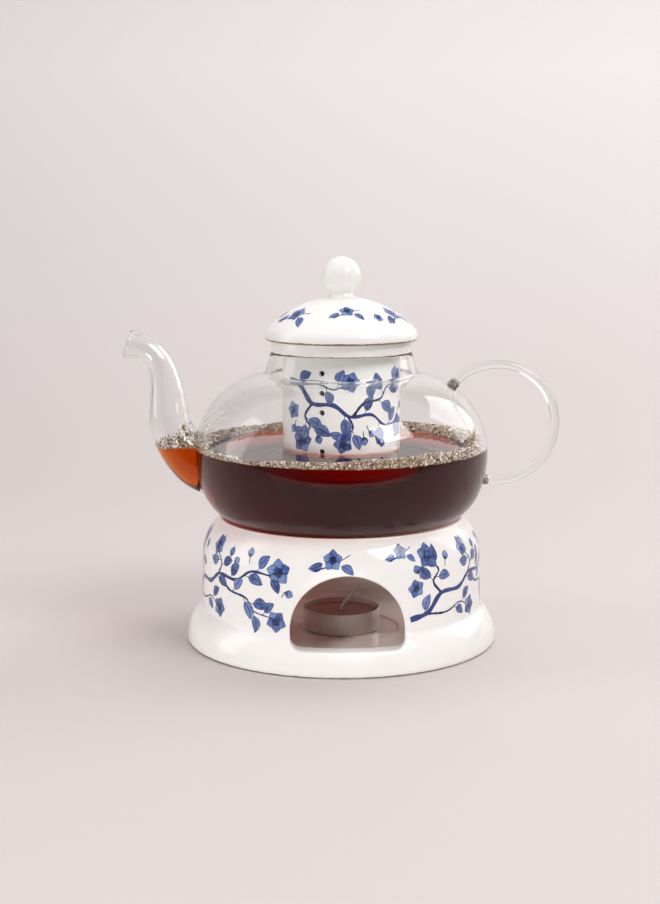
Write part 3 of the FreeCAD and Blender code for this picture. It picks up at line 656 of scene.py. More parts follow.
# point = c + R (sin a cos b, cos a, sin a sin b): two small balls sunk in the weld
def makeWelds():
    b, a = evenAngles(weldSize["sides"]), np.linspace(0, pi, weldSize["rows"])[:, None]
    ball = np.stack([np.sin(a) * np.cos(b), np.cos(a) + 0 * b, np.sin(a) * np.sin(b)], -1)
    grids = [np.array([x, 0, z]) + weldSize["radius"] * ball for x, z in weldSize["spots"]]
    dress(meshFrom("handle_welds", *joinGrids(grids), 80.0), "pot", "clear_glass", weldMaterial())


makeWelds()


# tea in the pot and the foot of the spout, reaching a little into the glass so that no air shows between
def makeTea():
    piece = turnedPiece("black_tea", potInside(level.rim, tea["grow"]))
    carve(piece, pipePiece("teaInSpout", spoutGrid(pot.spoutWall - tea["grow"], pot.plainRing)), "UNION")
    side, low = 240.0, level.seat - 20
    corners = np.array([[x, y, z] for z in (low, level.tea)
                        for x, y in ((-side, -side), (side, -side), (side, side), (-side, side))])
    faces = np.array([[3, 2, 1, 0], [4, 5, 6, 7], [0, 1, 5, 4], [1, 2, 6, 5], [2, 3, 7, 6], [3, 0, 4, 7]])
    carve(piece, meshFrom("belowTea", corners, faces), "INTERSECT")
    return smoothen(piece, 40.0)


# the glass bends the light where tea wets it, so only the tea's upper surface has an index of its own
teaPiece = dress(makeTea(), "pot", "clear_glass", teaMaterial())
upward = faceValues(teaPiece, "normal")[:, 2] > 0.99
upward &= faceValues(teaPiece, "center")[:, 2] / mm > level.tea - 0.1
setAttribute(teaPiece, "bend", "FACE", np.where(upward, tea["index"], 1.0))

# infuser

infuserSize = {
    "radius": 28.7, "wall": 2.8, "bottom": 82.0, "floor": 3.0, "blend": 5.0, "reach": 34.2,
    "flangeRound": 1.0, "flangeBlend": 0.6, "footRound": 0.3,
    "hole": 1.25, "holeEdge": 1.3, "holeSides": 20, "spacing": 9.3,
    "columns": 4, "tallRows": 5, "tallTurn": -19.0, "tallDrop": 8.0,
    "lowRise": 12.5, "lowTurn": 2.0, "lowColumns": 12,
}
infuser = SimpleNamespace(**infuserSize)


# drill: rings of width (cos b side + sin b up) about a line outwards, wider where it meets both faces
def holeGrid(turn, height):
    a, b = radians(turn) - pi / 2, evenAngles(infuser.holeSides)[:, None]
    out, side = np.array([cos(a), sin(a), 0]), np.array([-sin(a), cos(a), 0])
    circle = np.cos(b) * side + np.sin(b) * np.array([0, 0, 1])
    radius, inner = infuser.radius, infuser.radius - infuser.wall
    reach = np.array([radius - 6, inner - 0.3, inner + 0.4, radius - 0.4, radius + 0.3, radius + 3])
    edge = infuser.holeEdge
    wide = infuser.hole * np.array([edge, edge, 1.0, 1.0, edge, edge])
    return closeEnds(np.array([0, 0, height]) + reach[:, None, None] * out + wide[:, None, None] * circle)


# columns of holes down the cup and one ring of them below
def holeGrids():
    quarter, step, top = 360 / infuser.columns, 360 / infuser.lowColumns, level.rim - infuser.tallDrop
    holes = [(infuser.tallTurn + quarter * k, top - infuser.spacing * row)
             for k in range(infuser.columns) for row in range(infuser.tallRows)]
    low = infuser.bottom + infuser.lowRise
    holes += [(infuser.lowTurn + step * k, low) for k in range(infuser.lowColumns)]
    return [holeGrid(*hole) for hole in holes]


# cup with a flange, turned from its outline and then drilled
def makeInfuser():
    radius, reach, bottom, outerBlend = infuser.radius, infuser.reach, infuser.bottom, infuser.blend
    inner, floor, blend = radius - infuser.wall, bottom + infuser.floor, outerBlend - infuser.wall
    flange, top, turn = level.rim, level.flangeTop, infuser.flangeRound
    under, footRound = infuser.flangeBlend, infuser.footRound
    piece = turnedPiece("infuser_porcelain", [
        (0, bottom), (radius - outerBlend, bottom, outerBlend), (radius, bottom + outerBlend),
        (radius, flange - under, -under), (radius + under, flange),
        (reach - footRound, flange, footRound), (reach, flange + footRound),
        (reach, top - turn, turn), (reach - turn, top),
        (inner + turn, top, turn), (inner, top - turn), (inner, floor + blend, -blend),
        (inner - blend, floor), (0, floor),
    ])
    carve(piece, meshFrom("infuserHoles", *joinGrids(holeGrids())), "DIFFERENCE")
    return smoothen(piece, 30.0)


# brown line under the flange: bare clay and painted contact shade where it rests on the glass rim
dress(makeInfuser(), "infuser", "porcelain",
      porcelainMaterial("infuserGlaze", (level.rim, 0.45, infuser.radius + 3)), "infuser")

# lid and knob

lidSize = {
    "reach": 37.1, "edge": 1.5, "round": 0.6, "brow": 34.9, "browZ": 6.4, "crown": 20.4, "wall": 3.0,
    "collar": 25.3, "collarWall": 2.6, "collarDepth": 5.0, "collarRound": 0.6, "collarBlend": 0.4,
    "knobSeat": 7.0, "knobNeck": 5.5, "knobRise": 2.6, "knobBall": 9.4,
}
lid = SimpleNamespace(**lidSize)


# radius and centre height of the ball that the dome is a cap of
def domeCurve():
    rise = lid.crown - lid.browZ
    drop = (lid.brow ** 2 - lid.knobSeat ** 2 - rise ** 2) / (2 * rise)
    return hypot(lid.brow, drop), level.flangeTop + lid.browZ - drop


# collar, rim, brow and dome, then back down the inside of the dome
def makeLid():
    curve, centre = domeCurve()
    seat, collar, edgeRound, blend = level.flangeTop, lid.collar, lid.collarRound, lid.collarBlend
    hollow, inner, low = collar - lid.collarWall, curve - lid.wall, seat - lid.collarDepth
    edge, brow, crown = seat + lid.edge, seat + lid.browZ, seat + lid.crown
    return turnedPiece("lid_porcelain", [
        (hollow + edgeRound, low), (collar - edgeRound, low, edgeRound),
        (collar, low + edgeRound), (collar, seat - blend, -blend), (collar + blend, seat),
        (lid.reach - lid.round, seat, lid.round), (lid.reach, seat + lid.round),
        (lid.reach, edge, uprightArc(lid.reach - lid.brow, brow - edge)),
        (lid.brow, brow, curve), (lid.knobSeat, crown), (0, crown),
        (0, centre + inner, -inner), (hollow, centre + sqrt(inner ** 2 - hollow ** 2)),
        (hollow, low + edgeRound, edgeRound),
    ])


# a short hollowed neck under a ball
def makeKnob():
    base, neck, ball = level.flangeTop + lid.crown, lid.knobNeck, lid.knobBall
    neckTop = base + lid.knobRise
    centre = neckTop + sqrt(ball ** 2 - neck ** 2)
    return turnedPiece("lid_knob_porcelain", [
        (0, base), (lid.knobSeat, base, -uprightArc(lid.knobSeat - neck, lid.knobRise)),
        (neck, neckTop, ball), (ball, centre, ball), (0, centre + ball),
    ], 0.5, 128, 60.0)


# brown line under the lid's rim: bare clay and painted contact shade where it rests on the flange
lidGlaze = porcelainMaterial("lidGlaze", (level.flangeTop + 0.35, 0.5, lid.reach - 1.2))
dress(makeLid(), "lid", "porcelain", lidGlaze, "lid")
dress(makeKnob(), "lid", "porcelain", porcelainMaterial("knobGlaze"), "lid_knob")

# foam on the tea

foamSize = {
    "high": 4.2, "wide": 8.0, "sunk": 0.5, "bedGap": 0.5, "bedTone": 0.36, "columns": 300, "rows": 14,
    "bubbles": 2600, "wallBubbles": 3400, "spoutBubbles": 900, "spoutFront": 0.65,
    "least": 0.28, "most": 0.85,
    "thinAt": 232, "thinBy": 0.42, "thinSpread": 0.42,   # bearing and depth of the dip at the left front
    "spoutTopX": (-92, -84, -78, -75.5, -70), "spoutTopZ": (97.8, 100, 104, 110, 100),
    "tones": [(0.05, tint(86, 56, 40)), (0.45, tint(180, 152, 128)), (0.95, tint(246, 240, 232))],
    "noise": (300.0, 1600.0), "roughness": 0.18,
}
foam = SimpleNamespace(**foamSize)


# glass wall's inner radius above the belly
def hollowRadius(z):
    inner = pot.radius - pot.wall
    curve = uprightArc(inner - pot.neckFoot, pot.shoulderZ - pot.wall - pot.bellyZ)
    return inner - curve + np.sqrt(curve ** 2 - (z - pot.bellyZ) ** 2)


# foam's share at a bearing from +X: a mean with one slow and two quick waves, most at the handle and the
# back, less a dip at the left front
def foamShare(bearing):
    gap = np.angle(np.exp(1j * (bearing - radians(foam.thinAt))))
    swell = 0.86 + 0.2 * np.cos(bearing - 0.4) + 0.08 * np.sin(5 * bearing) + 0.05 * np.sin(13 * bearing + 1)
    return swell - foam.thinBy * np.exp(-(gap / foam.thinSpread) ** 2)


# mound: r = wall - wide t, z = tea + high (1 - t^2)^0.7, both times the foam's share, closed below
def foamMound(bearing, t):
    share = foamShare(bearing)
    z = level.tea + foam.high * share * (1 - t * t) ** 0.7
    r = hollowRadius(z) - foam.wide * share * t
    return np.stack([r * np.cos(bearing), r * np.sin(bearing), z], -1)


# each bubble has its own tone, and the fine noise moves it a little
def foamMaterial():
    material, tree, shader = newMaterial("teaFoam")
    grain = addUneven(tree, *foam.noise)[1]
    wobble = mathNode(tree, "MULTIPLY_ADD", grain, 0.5, -0.25)
    ramp = addNode(tree, "ValToRGB", {"Fac": mathNode(tree, "ADD", attributeValue(tree, "tone"), wobble)})
    stops = ramp.color_ramp.elements
    stops.new(foam.tones[1][0])
    for stop, (place, colour) in zip(stops, foam.tones):
        stop.position, stop.color = place, (*colour, 1.0)
    feed(tree, shader, {"Base Color": ramp.outputs["Color"], "Roughness": foam.roughness})
    return material


# twelve corners on three crossed rectangles of golden ratio, twenty faces
def icosahedron():
    golden = (1 + sqrt(5)) / 2
    card = np.array([[-1, golden, 0], [1, golden, 0], [-1, -golden, 0], [1, -golden, 0]])
    corners = np.concatenate([np.roll(card, k, axis=1) for k in range(3)])
    faces = np.array([
        [0, 11, 5], [0, 5, 1], [0, 1, 7], [0, 7, 10], [0, 10, 11], [1, 5, 9], [5, 11, 4], [11, 10, 2],
        [10, 7, 6], [7, 1, 8], [3, 9, 4], [3, 4, 2], [3, 2, 6], [3, 6, 8], [3, 8, 9], [4, 9, 5], [2, 4, 11],
        [6, 2, 10], [8, 6, 7], [9, 8, 1]])
    return corners / hypot(1, golden), faces


# bubbles on the bore's wall: y = +-sqrt(bore^2 - d^2), d from the spout's middle line, under a line
# that rises to the pot and falls again inside it
def spoutFoam(count):
    x = seed.uniform(foam.spoutTopX[0], foam.spoutTopX[-1], count)
    top = np.interp(x, foam.spoutTopX, foam.spoutTopZ)
    z = level.tea - 0.2 + (top - level.tea) * seed.uniform(0, 1, count) ** 1.3
    lower, upper = spoutLines()
    away = np.linalg.norm(np.stack([x, z], 1)[:, None] - (lower + upper)[None] / 2, axis=2)
    bore = np.linalg.norm(upper - lower, axis=1) / 2 - pot.spoutWall - 0.5
    nearest = np.argmax(bore - away, axis=1)
    room = bore[nearest] ** 2 - away[np.arange(count), nearest] ** 2
    y = np.sqrt(np.maximum(room, 0)) * np.where(seed.uniform(0, 1, count) < foam.spoutFront, -1, 1)
    y = y * np.where(z < level.tea + 0.6, seed.uniform(0, 1, count), 1)
    return np.stack([x, y, z], 1)[room > 0]


# the bed is the mound drawn in a little from the glass, with a flat underside in the tea
def makeFoamBed(material):
    top = foamMound(evenAngles(foam.columns)[None, :], np.linspace(0, 1, foam.rows)[:, None])
    top[..., :2] *= 1 - foam.bedGap / pot.radius
    under = top[[-1, 0]] * 1.0
    under[..., 2] = level.tea - foam.sunk
    grid = np.concatenate([top, under])
    bed = meshFrom("tea_foam_bed", grid, gridQuads(*grid.shape[:2], True, True), 60.0)
    setAttribute(bed, "tone", "POINT", np.full(len(bed.data.vertices), foam.bedTone))
    dress(bed, "pot", "wax", material)


# bubbles on the mound, up the glass and in the spout; those in the pot are moved in by their own radius
def makeBubbles(material):
    bearing = seed.uniform(0, fullTurn, foam.bubbles)
    onMound = foamMound(bearing, seed.uniform(0.05, 1.0, foam.bubbles) ** 0.8)
    around = seed.uniform(0, fullTurn, foam.wallBubbles)
    rise = foam.high * foamShare(around) + 0.2
    z = level.tea - 0.3 + rise * seed.uniform(0, 1, foam.wallBubbles)
    r = hollowRadius(z)
    onGlass = np.stack([r * np.cos(around), r * np.sin(around), z], 1)
    places = np.concatenate([onMound, onGlass, spoutFoam(foam.spoutBubbles)])
    size = foam.least + (foam.most - foam.least) * seed.uniform(0, 1, len(places)) ** 3
    inPot = slice(foam.bubbles + foam.wallBubbles)
    places[inPot, :2] *= (1 - size[inPot] / np.hypot(places[inPot, 0], places[inPot, 1]))[:, None]
    corners, faces = icosahedron()
    shift = len(corners) * np.arange(len(places))[:, None, None]
    points = places[:, None, :] + size[:, None, None] * corners
    bubbles = linkMesh("tea_foam_bubbles", points, (faces[None] + shift).reshape(-1, 3))
    setAttribute(bubbles, "tone", "POINT", np.repeat(seed.uniform(0, 1, len(places)), len(corners)))
    dress(bubbles, "pot", "wax", material)


teaFoam = foamMaterial()
makeFoamBed(teaFoam)
makeBubbles(teaFoam)

# blue underglaze print: sprigs of blossom, leaves and twigs

printSize = {
    "warmerSprig": (84, 34), "warmerHeight": 37.5,
    "archSprigs": [(9.5, -6, 53.0), (7.0, 22, 55.5)],   # size, degrees from the arch, height
    "infuserSprig": (66, 34), "infuserHeight": 116.5, "infuserBearings": (8, 188),
    "lidSprigs": [(7.5, 23), (9.0, 26)], "lidBlossom": (5.0, 28),   # size, distance from the knob
    "lidSprigCount": 6, "lidSprigTurn": 6, "lidBlossomCount": 3, "lidBlossomTurn": 38,
    "lift": 0.05, "liftStep": 0.004, "liftSteps": 9, "tones": (0.1, 0.8),
}
# twigs as shares of the sprig's length and rise, thickness at both ends, leaves (share, side, length)
sprig = {
    "twigs": [
        ([(-0.5, -0.4), (-0.38, -0.33), (-0.28, -0.1), (-0.12, -0.08), (0.0, 0.08), (0.16, 0.06),
          (0.28, 0.22), (0.42, 0.2)], (2.7, 0.9),
         [(0.1, 1, 8), (0.52, -1, 8.5), (0.66, 1, 8), (0.8, -1, 9), (0.9, 1, 8), (0.98, -1, 7.5)]),
        ([(-0.28, -0.1), (-0.34, 0.08), (-0.3, 0.24), (-0.36, 0.38)], (1.5, 0.5),
         [(0.35, 1, 8.5), (0.45, -1, 8), (0.62, 1, 9), (0.8, -1, 7.5)]),
        ([(-0.02, 0.06), (0.02, 0.24), (-0.05, 0.4)], (1.2, 0.45),
         [(0.4, -1, 7.5), (0.6, 1, 8), (0.85, -1, 6.5)]),
        ([(0.02, 0.08), (0.1, -0.1), (0.24, -0.16), (0.3, -0.32), (0.42, -0.38)], (1.5, 0.45),
         [(0.3, 1, 8), (0.45, -1, 9), (0.6, 1, 9), (0.75, -1, 8), (0.88, 1, 7)]),
        ([(-0.4, -0.35), (-0.24, -0.38), (-0.12, -0.3), (-0.02, -0.38)], (1.2, 0.4),
         [(0.5, -1, 7), (0.75, 1, 7.5)]),
    ],
    # place, size, turn
    "blossoms": [(-0.37, 0.44, 11.5, 12), (-0.05, 0.46, 9.5, 40), (0.46, 0.26, 12.5, 25),
                 (0.45, -0.42, 10.5, 55), (0.0, -0.4, 10.0, 70), (-0.46, 0.02, 9.0, 33)],
    # place, turn
    "buds": [(-0.24, 0.34, 70), (-0.44, 0.22, 120), (0.1, 0.36, 80), (0.14, 0.28, 40), (0.26, 0.4, 95),
             (0.5, 0.0, -20)],
    "bud": 4.6,
}
inkColour = {"dark": tint(17, 25, 62), "mid": tint(46, 68, 132), "light": tint(132, 156, 208)}
inkTones = {"leaf": ("mid", "light"), "petal": ("mid", "light"), "twig": ("dark", "mid")}
inkKinds = list(inkTones)
inkSize = {
    "noise": (420.0, 2200.0), "wash": 1.6, "deeper": 0.75, "rougher": 0.02,
    # dark marks as shares of the sheet: rim, tip, midrib, slanted veins, heart of a petal
    "rim": 0.86, "tip": 0.93, "midrib": 0.09, "veins": 7.0, "veinSlant": 1.7, "veinWidth": 0.16,
    "heart": 0.75, "strength": 0.85,
}
ink = SimpleNamespace(**inkSize)
alongSheet = np.linspace(0, 1, 13)[:, None]
acrossSheet = np.linspace(-1, 1, 7)[None, :]


# a flat sheet turned about its root and moved to its place
def placed(x, y, place, turn):
    c, s = cos(radians(turn)), sin(radians(turn))
    return np.stack([place[0] + x * c - y * s, place[1] + x * s + y * c], -1)


# leaf: half width = w/2 sin(pi u^0.85)^0.8 about a midrib that bows to one side
def leafSheet(place, turn, length, width):
    half = width / 2 * np.sin(np.pi * alongSheet ** 0.85) ** 0.8
    y = acrossSheet * half + 0.1 * length * np.sin(np.pi * alongSheet)
    return placed(alongSheet * length + 0 * acrossSheet, y, place, turn), "leaf"


# petal: half width = 0.43 s sin(0.93 pi u^1.2)^0.7, its end rounded off towards the sides
def petalSheet(place, turn, size):
    half = 0.43 * size * np.sin(0.93 * np.pi * alongSheet ** 1.2) ** 0.7
    return placed(size * alongSheet * (1 - 0.1 * acrossSheet ** 2), acrossSheet * half, place, turn), "petal"


# twig: a ribbon along a smooth line that thins out to its end, with small knots
def twigSheet(points, thick, thin):
    stem = len(points) == 2
    line = smoothLine(points, 3 if stem else 9 * len(points))
    share = np.linspace(0, 1, len(line))
    half = (thick + (thin - thick) * share) / 2 * (1 + 0.22 * np.sin(19 * share) * np.sin(47 * share))
    across = acrossSheet[0, ::6] if stem else acrossSheet[0, ::2]
    return line[:, None, :] + leftOf(line)[:, None, :] * half[:, None, None] * across[None, :, None], "twig"


# five petals and ten stamens of two lengths
def blossomSheets(place, size, turn):
    sheets = [petalSheet(place, turn + 72 * k, size / 2) for k in range(5)]
    for k in range(10):
        a = radians(turn + 36 * k + 18)
        reach = size * (0.2 if k % 2 else 0.26)
        tip = (place[0] + reach * cos(a), place[1] + reach * sin(a))
        sheets.append(twigSheet([place, tip], 0.022 * size, 0.03 * size))
    return sheets


# leaves on both sides of a twig, each at a share of its length, leaning forward from it
def leavesAlong(points, spots, slant=52, count=60):
    line = smoothLine(points, count)
    along = np.gradient(line, axis=0)
    sheets = []
    for share, side, size in spots:
        at = round(share * (count - 1))
        turn = degrees(atan2(along[at, 1], along[at, 0])) + side * slant
        stem = line[at] + 0.28 * size * np.array([cos(radians(turn)), sin(radians(turn))])
        sheets += [twigSheet([line[at], stem], 0.4, 0.3), leafSheet(stem, turn, size, 0.62 * size)]
    return sheets


# one sprig: a gnarled main twig and side twigs, with leaves along them and blossoms and buds at the ends
def sprigSheets(length, rise, flip=1):
    def at(x, y):
        return (x * length, y * rise * flip)
    twigs = [([at(*point) for point in points], ends, leaves) for points, ends, leaves in sprig["twigs"]]
    sheets = [twigSheet(points, *ends) for points, ends, leaves in twigs]
    for points, ends, leaves in twigs:
        sheets += leavesAlong(points, leaves)
    for x, y, size, turn in sprig["blossoms"]:
        sheets += blossomSheets(at(x, y), size, turn)
    for x, y, turn in sprig["buds"]:
        place = at(x, y)
        stem = (place[0] - 1.5 * cos(radians(turn)), place[1] - 2.6 * flip)
        sheets += [petalSheet(place, turn * flip, sprig["bud"]), twigSheet([stem, place], 0.4, 0.5)]
    return sheets


# one blossom with a leaf to each side, on a short twig
def smallSprig(size):
    twig = [(-0.9 * size, -0.5 * size), (0, -0.2 * size), (0.9 * size, 0.25 * size)]
    return [leafSheet((-0.5 * size, -0.15 * size), 200, 0.75 * size, 0.42 * size),
            leafSheet((0.42 * size, -0.25 * size), -35, 0.75 * size, 0.42 * size),
            twigSheet(twig, 0.7, 0.3)] + blossomSheets((0, 0), size, 18)


# ink washed out and pooled: each sheet has its own tone, leaves and petals a dark rim, leaves a midrib and
# slanted veins, petals a dark heart
def inkMaterial(kind):
    material, tree, shader = newMaterial("ink_" + kind)
    u, v = splitVector(tree, addNode(tree, "UVMap", uv_map="sheet").outputs["UV"])[:2]
    side = mathNode(tree, "ABSOLUTE", mathNode(tree, "MULTIPLY_ADD", v, 2.0, -1.0))
    wash, grain = addUneven(tree, *ink.noise)
    tone = mathNode(tree, "SUBTRACT", attributeValue(tree, "tone"), ink.deeper)
    pale = mathNode(tree, "MULTIPLY_ADD", wash, ink.wash, tone, clamp=True)
    colour = mixColours(tree, pale, *(inkColour[name] for name in inkTones[kind]))
    if kind != "twig":
        marks = [mathNode(tree, "GREATER_THAN", side, ink.rim), mathNode(tree, "GREATER_THAN", u, ink.tip)]
        if kind == "leaf":
            slant = mathNode(tree, "SUBTRACT", mathNode(tree, "MULTIPLY", u, ink.veins),
                             mathNode(tree, "MULTIPLY", side, ink.veinSlant))
            marks += [mathNode(tree, "LESS_THAN", side, ink.midrib),
                      mathNode(tree, "LESS_THAN", mathNode(tree, "FRACT", slant), ink.veinWidth)]
        else:
            marks.append(mathNode(tree, "LESS_THAN", u, mathNode(tree, "MULTIPLY", grain, ink.heart)))
        most = marks[0]
        for mark in marks[1:]:
            most = mathNode(tree, "MAXIMUM", most, mark)
        colour = mixColours(tree, mathNode(tree, "MULTIPLY", most, ink.strength), colour, inkColour["dark"])
    feed(tree, shader, {"Base Color": colour, "Roughness": porcelain["roughness"] + ink.rougher})
    return material


inkMaterials = [inkMaterial(kind) for kind in inkKinds]


# lays the flat sheets on a surface: wrap takes across and up in millimetres and gives points
def printPiece(name, layers, body):
    grids, kinds, sheetUv = [], [], []
    for sheets, wrap in layers:
        for order, (sheet, kind) in enumerate(sheets):
            lift = printSize["lift"] + printSize["liftStep"] * (order % printSize["liftSteps"])
            grids.append(wrap(sheet[..., 0], sheet[..., 1], lift))
            kinds.append(inkKinds.index(kind))
            shares = [np.linspace(0, 1, count) for count in sheet.shape[:2]]
            sheetUv.append(np.stack(np.meshgrid(*shares, indexing="ij"), -1).reshape(-1, 2))
    points, quads = joinGrids(grids, closeColumns=False)
    quads = quads[:, ::-1]
    rows, columns = np.array([grid.shape[:2] for grid in grids]).T
    tones = seed.uniform(*printSize["tones"], len(grids))
    piece = linkMesh(name, points, quads)
    mesh = piece.data
    cornerUv = np.concatenate(sheetUv)[quads.reshape(-1)]
    mesh.uv_layers.new(name="sheet").data.foreach_set("uv", cornerUv.reshape(-1))
    kindOfFace = np.repeat(kinds, (rows - 1) * (columns - 1))
    mesh.polygons.foreach_set("material_index", kindOfFace.astype(np.int32))
    setAttribute(piece, "tone", "POINT", np.repeat(tones, rows * columns))
    for material in inkMaterials:
        mesh.materials.append(material)
    dress(piece, body, "porcelain", None)


# sheet round a drum: bearing = middle + across / drum from the front, height = base + up
def drumWrap(middle, base, drum, radius):
    def wrap(across, up, lift):
        z = base + up
        a = radians(middle) + across / drum
        r = radius(z) + lift
        return np.stack([r * np.sin(a), -r * np.cos(a), z], -1)
    return wrap


def warmerWrap(middle, base):
    return drumWrap(middle, base, warmer.wallLow, outerRadius)


# sheet on the lid's dome, laid out flat about a point at some bearing and distance from the knob
def domeWrap(bearing, out):
    curve, centre = domeCurve()
    c, s = cos(radians(bearing)), sin(radians(bearing))

    def wrap(across, up, lift):
        x = s * (out - up) + c * across
        y = -c * (out - up) + s * across
        z = centre + np.sqrt(curve ** 2 - x ** 2 - y ** 2)
        push = 1 + lift / curve
        return np.stack([x * push, y * push, centre + (z - centre) * push], -1)
    return wrap


def makePrints():
    third = 360 / warmer.panels
    layers = []
    for k in range(warmer.panels):
        between = warmer.archTurn + third * (k + 0.5)
        sheets = sprigSheets(*printSize["warmerSprig"])
        layers.append((sheets, warmerWrap(between, printSize["warmerHeight"])))
        for size, beside, height in printSize["archSprigs"]:
            layers.append((smallSprig(size), warmerWrap(warmer.archTurn + third * k + beside, height)))
    printPiece("warmer_print", layers, "warmer")
    layers = [(sprigSheets(*printSize["infuserSprig"], -1),
               drumWrap(bearing, printSize["infuserHeight"], infuser.radius, lambda z: infuser.radius))
              for bearing in printSize["infuserBearings"]]
    printPiece("infuser_print", layers, "infuser")
    layers = []
    count = printSize["lidSprigCount"]
    for k in range(count):
        size, out = printSize["lidSprigs"][k % 2]
        layers.append((smallSprig(size), domeWrap(printSize["lidSprigTurn"] + 360 / count * k, out)))
    (size, out), count = printSize["lidBlossom"], printSize["lidBlossomCount"]
    for k in range(count):
        bearing = printSize["lidBlossomTurn"] + 360 / count * k
        layers.append((blossomSheets((0, 0), size, 30), domeWrap(bearing, out)))
    printPiece("lid_print", layers, "lid")


makePrints()

# tealight

candleSize = {
    "cup": 19.0, "height": 11.0, "sheet": 0.4, "round": 1.2, "flare": 0.3, "flareRise": 1.0, "bead": 0.35,
    "ribs": 44, "ribDepth": 0.1, "ribSteps": 6, "waxTop": 8.6, "waxGap": 0.1,
    "wick": 0.9, "lean": 36.0, "bend": 4.0, "run": 11.0, "stem": 0.6, "wickRows": 60, "wickSides": 16,
}
candle = SimpleNamespace(**candleSize)
# tones by the slow noise; a pair as roughness is (spread, least) over the slow noise
candleFinish = {
    "pressedAluminium": {"noise": (60.0, 1500.0), "tones": (tint(196, 188, 182), tint(226, 220, 215)),
                         "roughness": (0.25, 0.28), "bump": (0.2, 0.0003), "metallic": 0.8},
    "candleWax": {"noise": (220.0, 1800.0), "tones": (tint(120, 88, 76), tint(152, 120, 106)),
                  "specks": (0.56, tint(210, 190, 178)), "roughness": 0.45, "bump": (0.6, 0.0004)},
    "cottonWick": {"noise": (500.0, 2500.0), "tones": (tint(150, 130, 116), tint(194, 176, 162)),
                   "roughness": 0.8, "bump": (0.8, 0.0003)},
}


# specks lie where the fine noise is above their limit, and the fine noise is the bump
def candleMaterial(name):
    finish = candleFinish[name]
    material, tree, shader = newMaterial(name)
    wash, grain = addUneven(tree, *finish["noise"])
    colour, roughness = mixColours(tree, wash, *finish["tones"]), finish["roughness"]
    if "specks" in finish:
        limit, speck = finish["specks"]
        colour = mixColours(tree, mathNode(tree, "GREATER_THAN", grain, limit), colour, speck)
    if isinstance(roughness, tuple):
        roughness = mathNode(tree, "MULTIPLY_ADD", wash, *roughness)
    feed(tree, shader, {"Base Color": colour, "Roughness": roughness, "Metallic": finish.get("metallic", 0.0),
                        "Normal": bumpNormal(tree, grain, *finish["bump"])})
    return material


# turned cup whose side is drawn in by ribs: r = outline (1 - depth (1 + cos(ribs a)) / 2)
def makeCup(foot, material):
    rim, cup, edge, sheet, bead = foot + candle.height, candle.cup, candle.round, candle.sheet, candle.bead
    flare = cup + candle.flare
    outline = outlinePoints([
        (0, foot), (cup - edge, foot, edge), (cup, foot + edge),
        (cup, rim - candle.flareRise), (flare, rim - bead, bead), (flare - bead, rim, 0.3),
        (cup - sheet, rim - 0.4), (cup - sheet, foot + edge, -(edge - sheet)),
        (cup - edge, foot + sheet), (0, foot + sheet),
    ], 0.25)
    r, z = outline.T
    steps = candle.ribs * candle.ribSteps
    grid = turnedGrid(outline, steps)
    side = np.clip((z - foot - 1) / 2, 0, 1) * np.clip((rim - 1 - z) / 1.5, 0, 1) * (r > cup - 1)
    waves = 0.5 + 0.5 * np.cos(candle.ribs * evenAngles(steps))
    grid[..., :2] *= (1 - candle.ribDepth / cup * side[:, None] * waves)[..., None]
    piece = meshFrom("tealight_cup_foil", grid, gridQuads(grid.shape[0], steps, True, True), 50.0)
    dress(piece, "tealight", "aluminium_foil", material, "tealight_cup")


# wax puck with a shallow dip and a small rise round the wick
def makeWax(foot, top, material):
    low, radius, edge = foot + candle.sheet, candle.cup - candle.sheet - candle.waxGap, candle.round
    piece = turnedPiece("tealight_wax_puck", [
        (0, low), (radius - edge, low, edge), (radius, low + edge), (radius, top),
        (radius - 0.5, top - 0.25), (radius - 3, top - 0.5), (2.2, top - 0.35),
        (1.1, top + 0.15), (0, top + 0.2),
    ], 0.4, 160, 60.0)
    dress(piece, "tealight", "wax", material, "tealight_wax")


# wick: a pipe up out of the wax, round a bend and on along the lean, with a fine twist and a thin tip
def makeWick(foot, top, material):
    lean, turn, rows = radians(candle.lean), candle.bend, candle.wickRows
    bendZ = top + candle.stem
    bent = np.array([turn - turn * cos(lean), bendZ + turn * sin(lean)])
    tip = bent + candle.run * np.array([sin(lean), cos(lean)])
    sag = (bent + tip) / 2 + (0.2, -0.1)
    line = smoothLine([(0, foot + 1), (0, bendZ - 1), (0.25, bendZ + 1.2), bent, sag, tip], rows)
    place = np.linspace(0, 1, rows)
    twist = 0.94 + 0.06 * np.cos(place * 75)
    thick = (candle.wick * twist * np.interp(place, [0, 0.97, 1], [1, 1, 0.55]))[:, None]
    across = -leftOf(line)
    piece = pipePiece("tealight_wick_cotton",
                      pipeGrid(line - across * thick, line + across * thick, candle.wickSides))
    dress(piece, "tealight", "wick_cotton", material, "tealight_wick")


def makeTealight():
    foil = candleMaterial("pressedAluminium")
    makeCup(level.candle, foil)
    makeWax(level.candle, level.candle + candle.waxTop, candleMaterial("candleWax"))
    makeWick(level.candle, level.candle + candle.waxTop, candleMaterial("cottonWick"))
    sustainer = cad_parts["wick_sustainer"]
    sustainer.data.materials.clear()
    sustainer.data.materials.append(foil)


makeTealight()

# studio: pale sweep, soft boxes, camera; lengths in metres

